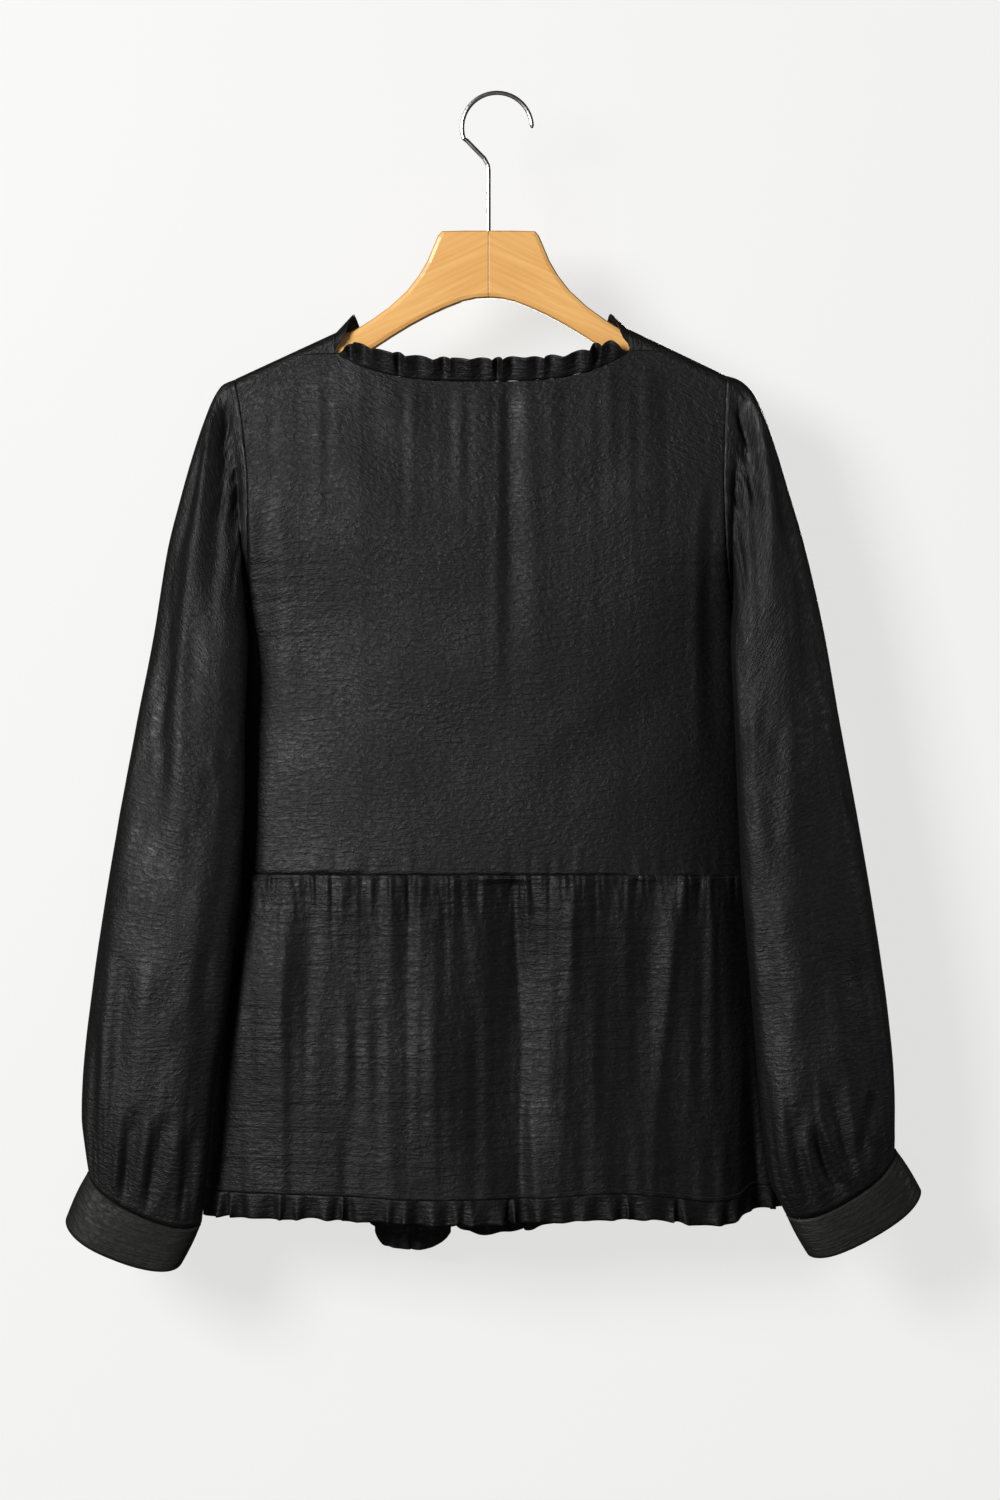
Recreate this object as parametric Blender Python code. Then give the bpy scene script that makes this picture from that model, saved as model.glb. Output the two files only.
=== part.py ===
"""A babydoll blouse hanging on a wooden clothes hanger, seen from its back as it hangs.

The blouse is built from the pieces that are cut and sewn: a back and two fronts, a gathered
peplum in three pieces, two gathered sleeves with cuffs, and ruffles round the neck, down both
front edges and along the hem. Every cloth piece is one wall of even thickness.

Frame: the origin is the underside of the hook's top, where it rests on a rail. +Z is up,
+Y runs from the blouse's back to its front, and +X is the wearer's right.
Lengths are in millimetres until a mesh is made. A drop is a distance below the origin.
"""

import math

import bmesh
import bpy
import numpy as np

MM = 0.001

# Cloth
WALL = 1.4
SEAM_GAP = 0.5
SIDE_SETBACK = 0.6
ARMHOLE_GAP = 1.6
RUFFLE_WIDTH = 19.0
HEM_RUFFLE_WIDTH = 18.5
NECK_RUFFLE_WIDTH = 17.0

# Hanger
HANGER_X = -6.4
HANGER_HALF_LENGTH = 172.0
HANGER_THICKNESS = 11.0
HANGER_CLEARANCE = 2.7
BLOCK_TOP_DROP = 102.0
ARCH_DROP = 152.5
ARM_SLOPE = 0.47
ARM_HEIGHT = 20.0
ARM_END_HEIGHT = 13.0
WIRE_RADIUS = 1.65
HOOK_RADIUS = 26.2
SHANK_BEND_DROP = 52.5
SHANK_BORE_DEPTH = 14.0
# Outline of the wood from its middle outwards, each row a reach and a distance below the block's
# top for the upper edge, or below the arch's top for the lower edge.
HANGER_SHOULDER = (
    (0.0, 0.0), (18.0, 0.0), (35.0, 0.4), (38.0, 4.0), (41.0, 11.0), (46.0, 23.0),
    (52.5, 34.0), (61.0, 45.0), (74.0, 57.0), (88.0, 67.0), (101.0, 75.0),
)
HANGER_ARCH = (
    (107.0, 52.0), (88.0, 39.5), (72.0, 29.0), (58.0, 20.5), (44.0, 13.0), (32.0, 7.5),
    (20.0, 2.8), (10.0, 0.6), (0.0, 0.0),
)

# Shoulders and neck
NECK_HALF_WIDTH = 110.0
NECK_CENTRE_X = -11.0
RIDGE_NECK_REACH = 107.0
RIDGE_NECK_DROP = 176.0
RIDGE_INNER_REACH = 95.0
RIDGE_RADIUS = 9.0
RIDGE_TILT = 0.008
SEAM_BEHIND_RIDGE = 16.6
SEAM_BEHIND_SHARE = 0.55
SHOULDER_SHARES = (0.0, 0.015, 0.06, 0.15, 0.28, 0.43, 0.58, 0.73, 0.87, 1.0)
BACK_NECK_DROP = 216.0
BACK_NECK_RISE = 22.0
V_NECK_LENGTH = 205.0

# Levels
UNDERARM_DROP = 379.0
WAIST_DROP = 584.0
HEM_DROP = 825.0

# Lower edges of the peplum across the back and both fronts, above their ruffles
BACK_HEM = {
    "x": (-220.0, -130.0, -48.0, 22.0, 85.0, 128.0, 160.0, 180.0, 190.0, 210.0),
    "drop": (821.0, 822.0, 825.0, 824.0, 820.5, 824.0, 828.0, 826.0, 819.0, 817.0),
}
LEFT_HEM = {
    "x": (-220.0, -150.0, -110.0, -76.0, -60.0, -11.0),
    "drop": (821.0, 822.0, 823.0, 850.0, 852.0, 850.0),
}
RIGHT_HEM = {
    "x": (-31.0, 0.0, 50.0, 100.0, 150.0, 190.0, 210.0),
    "drop": (843.0, 840.0, 833.0, 826.0, 821.0, 818.0, 817.0),
}

# Outline of the body, a row for each level: its left and right edges, the depth of back and
# front behind and before the side seam, and how far forward that seam lies.
BODY = {
    "drop": (205.0, 250.0, 290.0, 340.0, 379.0, 400.0, 420.0, 480.0, 584.0, 660.0, 740.0, 825.0),
    "left": (
        -197.5, -190.0, -186.0, -185.5, -187.5, -191.6, -193.5, -195.5, -198.0, -204.0, -213.0,
        -220.0,
    ),
    "right": (
        172.0, 170.0, 169.0, 171.0, 175.5, 179.6, 181.5, 185.0, 189.0, 195.0, 201.5, 210.0,
    ),
    "back_depth": (30.0, 31.0, 32.0, 33.0, 34.0, 35.0, 36.0, 38.0, 40.0, 41.0, 43.0, 45.0),
    "front_depth": (26.0, 27.0, 28.0, 29.0, 30.0, 29.0, 29.0, 28.0, 29.0, 31.0, 33.0, 35.0),
    "seam_y": (0.0, 1.5, 3.0, 5.0, 6.0, 7.0, 8.0, 10.0, 10.0, 10.0, 10.0, 9.0),
}
SIDE_ROUNDNESS = 2.6

# Sleeves, a row for each section from the armhole to the cuff seam: the ends of the section on
# the outer and the underarm side, their place front to back, the half depth between them, and
# how far the back layer sags below its ends.
SLEEVE_COLUMNS = (
    "outer_x", "outer_drop", "inner_x", "inner_drop", "inner_y", "outer_y", "half_depth", "sag",
)
LEFT_SLEEVE = (
    (-205.0, 217.5, -190.9, 381.0, 3.5, 0.0, 27.0, 0.0),
    (-212.0, 227.0, -191.6, 386.0, -0.5, 0.0, 27.0, 0.0),
    (-219.0, 244.0, -191.9, 393.0, -5.5, -1.0, 27.0, 0.0),
    (-227.0, 268.0, -191.4, 403.0, -11.0, -2.0, 26.5, 0.0),
    (-236.0, 300.0, -190.2, 417.0, -16.5, -3.0, 26.0, 0.0),
    (-246.5, 342.0, -189.5, 440.0, -20.5, -4.0, 26.0, 0.0),
    (-256.0, 402.0, -188.0, 478.0, -21.0, -5.0, 26.0, 0.0),
    (-270.0, 474.0, -188.0, 521.0, -21.0, -5.0, 27.0, 0.0),
    (-283.5, 548.0, -190.5, 577.0, -21.0, -5.0, 28.0, 0.0),
    (-295.0, 617.0, -195.5, 630.0, -21.0, -5.0, 30.0, 0.0),
    (-304.0, 681.0, -200.5, 682.0, -18.0, -5.0, 31.0, 0.0),
    (-309.8, 737.0, -210.0, 738.0, -19.0, -5.0, 30.0, 3.0),
    (-310.5, 764.0, -214.0, 778.0, -19.0, -5.0, 27.0, 7.0),
    (-308.0, 786.0, -217.0, 812.0, -17.0, -5.0, 22.0, 11.0),
    (-304.5, 804.0, -220.5, 843.0, -14.0, -5.0, 17.0, 14.0),
)
RIGHT_SLEEVE = (
    (180.5, 213.5, 178.9, 381.0, 3.5, 0.0, 27.0, 0.0),
    (190.5, 222.0, 179.6, 386.0, -0.5, 0.0, 27.0, 0.0),
    (199.0, 238.0, 179.9, 393.0, -5.5, -1.0, 27.0, 0.0),
    (207.5, 262.0, 179.4, 403.0, -11.0, -2.0, 26.5, 0.0),
    (216.5, 292.0, 178.4, 417.0, -16.5, -3.0, 26.0, 0.0),
    (229.5, 337.0, 177.8, 440.0, -20.5, -4.0, 26.0, 0.0),
    (244.5, 403.0, 177.4, 478.0, -21.0, -5.0, 26.0, 0.0),
    (257.0, 475.0, 179.0, 521.0, -21.0, -5.0, 27.0, 0.0),
    (270.5, 548.0, 181.6, 577.0, -21.0, -5.0, 28.0, 0.0),
    (282.0, 616.0, 185.8, 630.0, -21.0, -5.0, 30.0, 0.0),
    (291.0, 678.0, 191.0, 690.0, -18.0, -5.0, 31.0, 0.0),
    (296.4, 732.0, 197.0, 745.0, -19.0, -5.0, 30.0, 3.0),
    (297.0, 754.0, 203.0, 781.0, -19.0, -5.0, 27.0, 7.0),
    (296.5, 771.0, 211.0, 811.0, -17.0, -5.0, 22.0, 11.0),
    (296.0, 787.5, 218.3, 836.0, -14.0, -5.0, 17.0, 16.0),
)
SLEEVE_ROUNDNESS = 2.4
ARMHOLE_ROWS = 5
FRONT_SAG_SHARE = 0.45

# Cuffs: how far each end of the band lies from the sleeve seam, and the sag of its free edge.
CUFF_COLUMNS = ("outer_dx", "outer_ddrop", "inner_dx", "inner_ddrop", "sag")
LEFT_CUFF = (-17.5, 37.0, -14.6, 30.4, 15.0)
RIGHT_CUFF = (20.7, 32.0, 17.0, 31.0, 12.0)

# Folds, a row for each: the line it follows from top to bottom, as a place across the piece,
# where along the piece it starts and ends, its depth and its half width. A positive depth is
# a trough. Across the back peplum places are in millimetres, and on sleeves in degrees.
FOLD_COLUMNS = ("top", "bottom", "start", "end", "depth", "half_width")
BACK_PEPLUM_FOLDS = (
    (-161.0, -170.0, 0.00, 0.30, 5.0, 5.0),
    (-141.0, -172.0, 0.00, 0.75, 9.0, 8.0),
    (-128.0, -139.0, 0.00, 1.00, 8.0, 9.0),
    (-113.0, -119.0, 0.00, 0.25, 4.0, 4.5),
    (-94.0, -92.0, 0.00, 0.50, 5.0, 6.0),
    (-69.0, -72.0, 0.00, 0.80, 7.0, 6.0),
    (-45.0, -40.0, 0.00, 1.00, 6.0, 7.0),
    (-31.0, -32.0, 0.00, 0.35, 4.0, 4.5),
    (-2.0, -10.0, 0.00, 1.00, 14.0, 22.0),
    (23.0, 21.0, 0.00, 0.35, 5.0, 5.0),
    (35.0, 34.0, 0.00, 0.30, 4.0, 4.5),
    (73.0, 58.0, 0.00, 1.00, 11.0, 13.0),
    (101.0, 112.0, 0.00, 0.45, 6.0, 6.0),
    (121.0, 126.0, 0.00, 1.00, 7.0, 9.0),
    (143.0, 158.0, 0.00, 0.65, 8.0, 8.0),
    (163.0, 176.0, 0.00, 0.40, 4.0, 5.0),
    (186.0, 194.0, 0.00, 1.00, 7.0, 6.0),
    (-188.0, -204.0, 0.10, 1.00, 5.0, 5.0),
    (-196.0, -196.0, 0.45, 1.00, 5.0, 9.0),
    (-104.0, -104.0, 0.60, 1.00, 5.0, 10.0),
    (92.0, 90.0, 0.60, 1.00, 4.0, 9.0),
)
LEFT_PEPLUM_FOLDS = (
    (-160.0, -178.0, 0.00, 0.60, 7.0, 8.0),
    (-132.0, -140.0, 0.00, 1.00, 8.0, 9.0),
    (-110.0, -108.0, 0.00, 0.45, 5.0, 6.0),
    (-84.0, -88.0, 0.00, 1.00, 7.0, 8.0),
    (-60.0, -66.0, 0.00, 0.55, 5.0, 6.0),
)
RIGHT_PEPLUM_FOLDS = (
    (158.0, 178.0, 0.00, 0.70, 7.0, 8.0),
    (134.0, 140.0, 0.00, 1.00, 8.0, 9.0),
    (106.0, 110.0, 0.00, 0.45, 5.0, 6.0),
    (82.0, 78.0, 0.00, 1.00, 9.0, 10.0),
    (54.0, 44.0, 0.00, 0.50, 5.0, 6.0),
    (32.0, 22.0, 0.00, 1.00, 6.0, 7.0),
)
SLEEVE_FOLDS = (
    (22.0, 30.0, 0.10, 0.45, 4.5, 11.0),
    (44.0, 40.0, 0.02, 0.22, 3.5, 8.0),
    (80.0, 96.0, 0.02, 0.50, 9.0, 15.0),
    (112.0, 120.0, 0.02, 0.30, 4.0, 10.0),
    (-70.0, -60.0, 0.02, 0.55, 8.0, 16.0),
    (-110.0, -120.0, 0.05, 0.40, 5.0, 12.0),
    (30.0, 26.0, 0.62, 1.00, 5.0, 8.0),
    (60.0, 50.0, 0.66, 1.00, 6.0, 9.0),
    (98.0, 84.0, 0.70, 1.00, 5.0, 8.0),
    (118.0, 118.0, 0.60, 1.00, 7.0, 10.0),
    (150.0, 152.0, 0.70, 1.00, 4.0, 9.0),
    (-40.0, -36.0, 0.62, 1.00, 6.0, 10.0),
    (-86.0, -80.0, 0.66, 1.00, 5.0, 9.0),
    (-130.0, -124.0, 0.60, 1.00, 6.0, 10.0),
)

# Waves in each ruffle
NECK_WAVES = 16
FRONT_WAVES = 27
HEM_BACK_WAVES = 28
HEM_FRONT_WAVES = 13
RUFFLE_AMPLITUDE = 3.6
RUFFLE_ROOT_AMPLITUDE = 0.7
MITRE_GAP = 1.2

BLACK_SATIN = ("black_satin", (0.012, 0.012, 0.012), 0.42, 0.0)
BLACK_CUFF = ("black_cuff_cloth", (0.017, 0.017, 0.015), 0.6, 0.0)
WOOD = ("varnished_wood", (0.78, 0.42, 0.13), 0.32, 0.0)
STEEL = ("nickel_wire", (0.62, 0.6, 0.56), 0.28, 1.0)


def clear_scene():
    for thing in list(bpy.data.objects):
        bpy.data.objects.remove(thing, do_unlink=True)


def material(finish):
    name, colour, roughness, metallic = finish
    made = bpy.data.materials.get(name) or bpy.data.materials.new(name)
    made.use_nodes = True
    shader = made.node_tree.nodes["Principled BSDF"]
    shader.inputs["Base Color"].default_value = (*colour, 1.0)
    shader.inputs["Roughness"].default_value = roughness
    shader.inputs["Metallic"].default_value = metallic
    return made


def new_object(name, mesh, finish):
    made = bpy.data.objects.new(name, mesh)
    bpy.context.scene.collection.objects.link(made)
    made.data.materials.append(material(finish))
    return made


def cloth(name, points, finish=BLACK_SATIN, tube=False):
    """A cloth wall through a grid of points, rows by columns, in millimetres. A tube's last
    column joins its first."""
    rows, columns, _ = points.shape
    edges = columns if tube else columns - 1
    faces = []
    for r in range(rows - 1):
        for c in range(edges):
            n = (c + 1) % columns
            corners = (r * columns + c, r * columns + n, (r + 1) * columns + n, (r + 1) * columns + c)
            a, b, c2, d = corners
            falling = np.linalg.norm(points[r, c] - points[r + 1, n])
            rising = np.linalg.norm(points[r, n] - points[r + 1, c])
            faces += [(a, b, c2), (a, c2, d)] if falling <= rising else [(a, b, d), (b, c2, d)]
    mesh = bpy.data.meshes.new(name)
    mesh.from_pydata((points.reshape(-1, 3) * MM).tolist(), [], faces)
    mesh.shade_smooth()
    made = new_object(name, mesh, finish)
    wall = made.modifiers.new("wall", "SOLIDIFY")
    wall.thickness = WALL * MM
    wall.offset = 0.0
    return made


def unit(vectors):
    return vectors / np.linalg.norm(vectors, axis=-1, keepdims=True)


def column(name, drop):
    """A value of the body's table at this drop, on a smooth line through its rows."""
    levels, values = np.array(BODY["drop"]), np.array(BODY[name])
    return smooth_line(levels, values, drop)


def smooth_line(places, values, wanted):
    """A line through the rows of a table, with no overshoot between them."""
    steps = np.diff(places)
    rises = np.diff(values) / steps
    slopes = np.zeros(len(values))
    same_way = rises[:-1] * rises[1:] > 0
    inner = 2 * rises[:-1] * rises[1:] / np.where(same_way, rises[:-1] + rises[1:], 1.0)
    slopes[1:-1] = np.where(same_way, inner, 0.0)
    slopes[0], slopes[-1] = rises[0], rises[-1]
    wanted = np.clip(np.asarray(wanted, float), places[0], places[-1])
    row = np.clip(np.searchsorted(places, wanted, side="right") - 1, 0, len(steps) - 1)
    t = (wanted - places[row]) / steps[row]
    return (
        (2 * t**3 - 3 * t**2 + 1) * values[row]
        + (t**3 - 2 * t**2 + t) * steps[row] * slopes[row]
        + (3 * t**2 - 2 * t**3) * values[row + 1]
        + (t**3 - t**2) * steps[row] * slopes[row + 1]
    )


def ridge_drop(x):
    """The top of the shoulders, which lies on the hanger's arms."""
    reach = np.maximum(np.abs(x - HANGER_X), RIDGE_INNER_REACH)
    return RIDGE_NECK_DROP + ARM_SLOPE * (reach - RIDGE_NECK_REACH) + RIDGE_TILT * x


def centre_front(drop):
    """Where the two fronts meet. The edges drift to the wearer's left below the waist."""
    share = np.clip((drop - UNDERARM_DROP) / (HEM_DROP - UNDERARM_DROP), 0, 1.2)
    return NECK_CENTRE_X - 23.0 * share**1.3


def surface_y(side, x, drop):
    """How far back (side -1) or forward (side 1) the body's cloth lies at a place."""
    left, right = column("left", drop), column("right", drop)
    across = np.clip(np.abs(2 * x - left - right) / (right - left), 0, 1)
    below = np.maximum(drop - ridge_drop(x), 0)
    cap = RIDGE_RADIUS * np.sqrt(1 - (1 - np.clip(below / RIDGE_RADIUS, 0, 1)) ** 2)
    depth = column("back_depth" if side < 0 else "front_depth", drop)
    fuller = 1 - np.exp(-((np.maximum(below - RIDGE_RADIUS, 0) / 80.0) ** 1.5))
    half = cap + (depth - RIDGE_RADIUS) * fuller
    shoulder = ridge_drop(np.where(x < HANGER_X, column("left", 205.0), column("right", 205.0)))
    share = np.clip((drop - shoulder) / (UNDERARM_DROP - shoulder), 0, 1)
    open_arm = np.sqrt(1 - share**3)
    closing = np.sqrt(1 - across**SIDE_ROUNDNESS)
    return column("seam_y", drop) + side * (half * (open_arm + (1 - open_arm) * closing))


def over_shoulder(x, path):
    """A point at a path length from the ridge, over the top of the shoulder: negative
    lengths run down the back, positive ones down the front."""
    side = np.where(path < 0, -1.0, 1.0)
    length = np.abs(path)
    quarter = RIDGE_RADIUS * math.pi / 2
    round_drop = RIDGE_RADIUS * (1 - np.cos(np.minimum(length, quarter) / RIDGE_RADIUS))
    drop = ridge_drop(x) + round_drop + np.maximum(length - quarter, 0)
    y = np.where(side < 0, surface_y(-1, x, drop), surface_y(1, x, drop))
    return y, drop


def path_at(x, drop):
    """The path length down from the ridge that reaches this drop."""
    quarter = RIDGE_RADIUS * math.pi / 2
    below = np.maximum(drop - ridge_drop(x), 0)
    angle = np.arccos(1 - np.clip(below / RIDGE_RADIUS, 0, 1))
    return np.where(below < RIDGE_RADIUS, RIDGE_RADIUS * angle, quarter + below - RIDGE_RADIUS)


def shoulder_seam(x):
    """How far behind the ridge the shoulder seam lies: furthest at the neck."""
    side = np.where(x < NECK_CENTRE_X, column("left", 205.0), column("right", 205.0))
    neck = NECK_CENTRE_X + np.sign(x - NECK_CENTRE_X) * NECK_HALF_WIDTH
    share = np.clip((x - neck) / (side - neck), 0, 1)
    return SEAM_BEHIND_RIDGE * np.clip(1 - share / SEAM_BEHIND_SHARE, 0, 1) ** 1.2


def back_neck(x):
    across = np.clip(np.abs(x - NECK_CENTRE_X) / NECK_HALF_WIDTH, 0, 1)
    return BACK_NECK_DROP - BACK_NECK_RISE * across**3.2


def back_ripple(x, drop):
    """Soft upright waves below the back neck, and the pressed fold down the centre back."""
    share = np.clip((drop - BACK_NECK_DROP) / (WAIST_DROP - BACK_NECK_DROP), 0, 1)
    waves = 0.9 * np.sin(x / 9.0 + 0.8 * np.sin(x / 37.0)) + 0.7 * np.sin(x / 23.0 + 1.0)
    crease = np.exp(-(((x - 9.0) / 6.0) ** 2)) * np.exp(-((share / 0.55) ** 2))
    near_side = np.exp(-(((np.abs(x) - 150.0) / 22.0) ** 2)) * np.sin(math.pi * share)
    return waves * (1 - share) * np.sin(math.pi * np.clip(share * 3, 0, 0.5)) + 2.2 * crease + 2.0 * near_side


def rows_over(first, knee, last, near, rows):
    """Path lengths from first to last, with the first rows close together as far as a knee."""
    top = np.linspace(first, knee, near + 1)
    rest = knee + (last - knee) * np.linspace(0, 1, rows - near) ** 1.25
    return np.concatenate([top, rest[1:]])


def back_bodice_points(neck_columns=11, rows=15):
    """The back, from shoulder seams and neck down to the waist seam."""
    top_left, top_right = float(column("left", 205.0)), float(column("right", 205.0))
    neck_left, neck_right = NECK_CENTRE_X - NECK_HALF_WIDTH, NECK_CENTRE_X + NECK_HALF_WIDTH
    shares = np.array(SHOULDER_SHARES)
    left_part = top_left + (neck_left - top_left) * shares
    right_part = top_right + (neck_right - top_right) * shares
    turn = np.linspace(-1, 1, neck_columns + 2)[1:-1]
    neck_part = NECK_CENTRE_X + NECK_HALF_WIDTH * (0.6 * np.sin(turn * math.pi / 2) + 0.4 * turn)
    tops = np.concatenate([left_part, neck_part, right_part[::-1]])
    points = np.zeros((rows, len(tops), 3))
    for c, top_x in enumerate(tops):
        across = 2 * (top_x - top_left) / (top_right - top_left) - 1
        in_neck = abs(top_x - NECK_CENTRE_X) < NECK_HALF_WIDTH - 0.01
        top = back_neck(top_x) if in_neck else ridge_drop(top_x) + shoulder_seam(top_x)
        first = max(float(path_at(top_x, top)), SEAM_GAP / 2)
        knee = max(first + 10.0, RIDGE_RADIUS * math.pi / 2)
        last = float(path_at(top_x, WAIST_DROP - SEAM_GAP / 2))
        for r, path in enumerate(rows_over(first, knee, last, 3, rows)):
            x = top_x
            for _ in range(3):
                drop = over_shoulder(x, -path)[1]
                left, right = column("left", drop), column("right", drop)
                x = (left + right + across * (right - left)) / 2
                if r == rows - 1:
                    path = float(path_at(x, WAIST_DROP - SEAM_GAP / 2))
            y, drop = over_shoulder(x, -path)
            fade = 1 - abs(across) ** 8
            y += back_ripple(x, drop) * fade - SIDE_SETBACK * (1 - fade)
            points[r, c] = (x, y, -drop)
    return points


def front_edge(side, path, drop):
    """The inner edge of a front: over the shoulder, down the V neck, then beside the centre
    front, where it leaves room for its ruffle. Side is -1 for the wearer's left."""
    start = NECK_CENTRE_X + side * NECK_HALF_WIDTH
    inset = RUFFLE_WIDTH + 1.5
    share = np.clip(path / V_NECK_LENGTH, 0, 1) ** 1.15
    meeting = centre_front(drop) + side * inset
    return start + (meeting - start) * share


def front_bodice_points(side, near=7, rows=18, only=None):
    """One front, from the shoulder seam behind the ridge down to the waist seam. Only picks
    the shares across it to return, for the ruffle that follows its edge."""
    end = "left" if side < 0 else "right"
    across = np.array(SHOULDER_SHARES if only is None else only)
    points = np.zeros((rows, len(across), 3))
    tip = float(column(end, 205.0))
    neck = NECK_CENTRE_X + side * NECK_HALF_WIDTH
    for c, u in enumerate(across):
        seam_x = tip + (neck - tip) * u
        first = -float(path_at(seam_x, ridge_drop(seam_x) + shoulder_seam(seam_x)))
        first += SEAM_GAP + 0.15
        last = float(path_at(seam_x, WAIST_DROP - SEAM_GAP / 2))
        for r, path in enumerate(rows_over(first, RIDGE_RADIUS * 1.7, last, near, rows)):
            x = seam_x
            for _ in range(4):
                drop = over_shoulder(x, path)[1]
                inner = front_edge(side, path, drop)
                x = column(end, drop) * (1 - u) + inner * u
                x = seam_x if path < 0 else x
                if r == rows - 1:
                    path = float(path_at(x, WAIST_DROP - SEAM_GAP / 2))
            y, drop = over_shoulder(x, path)
            points[r, c] = (x, y + SIDE_SETBACK * (1 - u) ** 20 * np.sign(path), -drop)
    return points


def folds_at(table, across, down):
    """The depth of all folds of a table at a place on the piece."""
    total = np.zeros(np.broadcast(across, down).shape)
    for row in table:
        fold = dict(zip(FOLD_COLUMNS, row))
        line = fold["top"] + (fold["bottom"] - fold["top"]) * down
        span = fold["end"] - fold["start"]
        along = np.clip((down - fold["start"]) / span, 0, 1)
        ends_open = fold["end"] >= 1.0
        starts_open = fold["start"] <= 0.02
        rise = np.minimum(along / 0.18, 1) if not starts_open else 0.35 + 0.65 * np.minimum(along / 0.3, 1)
        fall = 1.0 if ends_open else np.cos(along * math.pi / 2)
        inside = (down >= fold["start"] - 1e-9) & (down <= fold["end"] + 1e-9)
        width = fold["half_width"] * (0.6 + 0.7 * down)
        total = total + fold["depth"] * rise * fall * inside * np.exp(-(((across - line) / width) ** 2))
    return total


def peplum_hem(side, x):
    """The drop of a peplum's lower edge. The fronts dip towards their meeting edges."""
    if side < 0:
        return smooth_line(np.array(BACK_HEM["x"]), np.array(BACK_HEM["drop"]), x)
    left = smooth_line(np.array(LEFT_HEM["x"]), np.array(LEFT_HEM["drop"]), x)
    right = smooth_line(np.array(RIGHT_HEM["x"]), np.array(RIGHT_HEM["drop"]), x)
    return np.where(x < centre_front(HEM_DROP), left, right)


def peplum_point(side, x, drop, share, table):
    y = surface_y(side, x, drop)
    gathers = 1.3 * np.sin(x / 1.9 + np.sin(x / 11.0)) * np.clip(1 - share * 5, 0, 1)
    lift = 2.0 * np.sin(x / 13.0 + 0.6) * np.clip(share, 0, 1)
    left, right = column("left", drop), column("right", drop)
    near_edge = np.clip(np.minimum(x - left, right - x) / 14.0, 0, 1)
    return y - side * (folds_at(table, x, share) + lift + gathers) * near_edge


def back_peplum_points(columns=78, rows=6):
    turn = np.linspace(-1, 1, columns)
    across = np.sin(turn * math.pi / 2) * 0.25 + turn * 0.75
    down = np.linspace(0, 1, rows) ** 1.1
    share_x = (across[None, :] + 1) / 2
    points = np.zeros((rows, columns, 3))
    for r, v in enumerate(down):
        x = column("left", WAIST_DROP + (HEM_DROP - WAIST_DROP) * v) * (1 - share_x[0])
        x = x + column("right", WAIST_DROP + (HEM_DROP - WAIST_DROP) * v) * share_x[0]
        drop = WAIST_DROP + SEAM_GAP / 2 + (peplum_hem(-1, x) - WAIST_DROP) * v
        y = peplum_point(-1, x, drop, v, BACK_PEPLUM_FOLDS)
        ends = np.abs(across) ** 40
        points[r] = np.stack([x, y - SIDE_SETBACK * ends, -drop], axis=1)
    return points


def front_peplum_points(side, columns=37, rows=6, only=None):
    end = "left" if side < 0 else "right"
    table = LEFT_PEPLUM_FOLDS if side < 0 else RIGHT_PEPLUM_FOLDS
    turn = np.linspace(0, 1, columns)
    across = np.sin(turn * math.pi / 2) * 0.3 + turn * 0.7 if only is None else np.array(only)
    down = np.linspace(0, 1, rows) ** 1.1
    points = np.zeros((rows, len(across), 3))
    for r, v in enumerate(down):
        level = WAIST_DROP + (HEM_DROP - WAIST_DROP) * v
        inner = centre_front(level) + side * (RUFFLE_WIDTH + 1.5)
        x = column(end, level) * (1 - across) + inner * across
        drop = WAIST_DROP + SEAM_GAP / 2 + (peplum_hem(1, x) - WAIST_DROP) * v
        y = peplum_point(1, x, drop, v, table)
        points[r] = np.stack([x, y + SIDE_SETBACK * (1 - across) ** 40, -drop], axis=1)
    return points


def resample(points, shares):
    """Points at shares of a line's length."""
    steps = np.linalg.norm(np.diff(points, axis=0), axis=1)
    length = np.concatenate([[0], np.cumsum(steps)])
    return np.stack([np.interp(shares * length[-1], length, points[:, k]) for k in range(3)], axis=1)


def wave_shares(waves):
    """Four columns a wave, at its root line, crest, root line and trough, unevenly spaced."""
    place = np.arange(4 * waves + 1)
    drift = 0.28 * np.sin(place * 0.61) + 0.22 * np.sin(place * 0.23 + 1.0)
    drift[0] = drift[-1] = 0.0
    return np.clip((place + drift) / (4 * waves), 0, 1)


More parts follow.
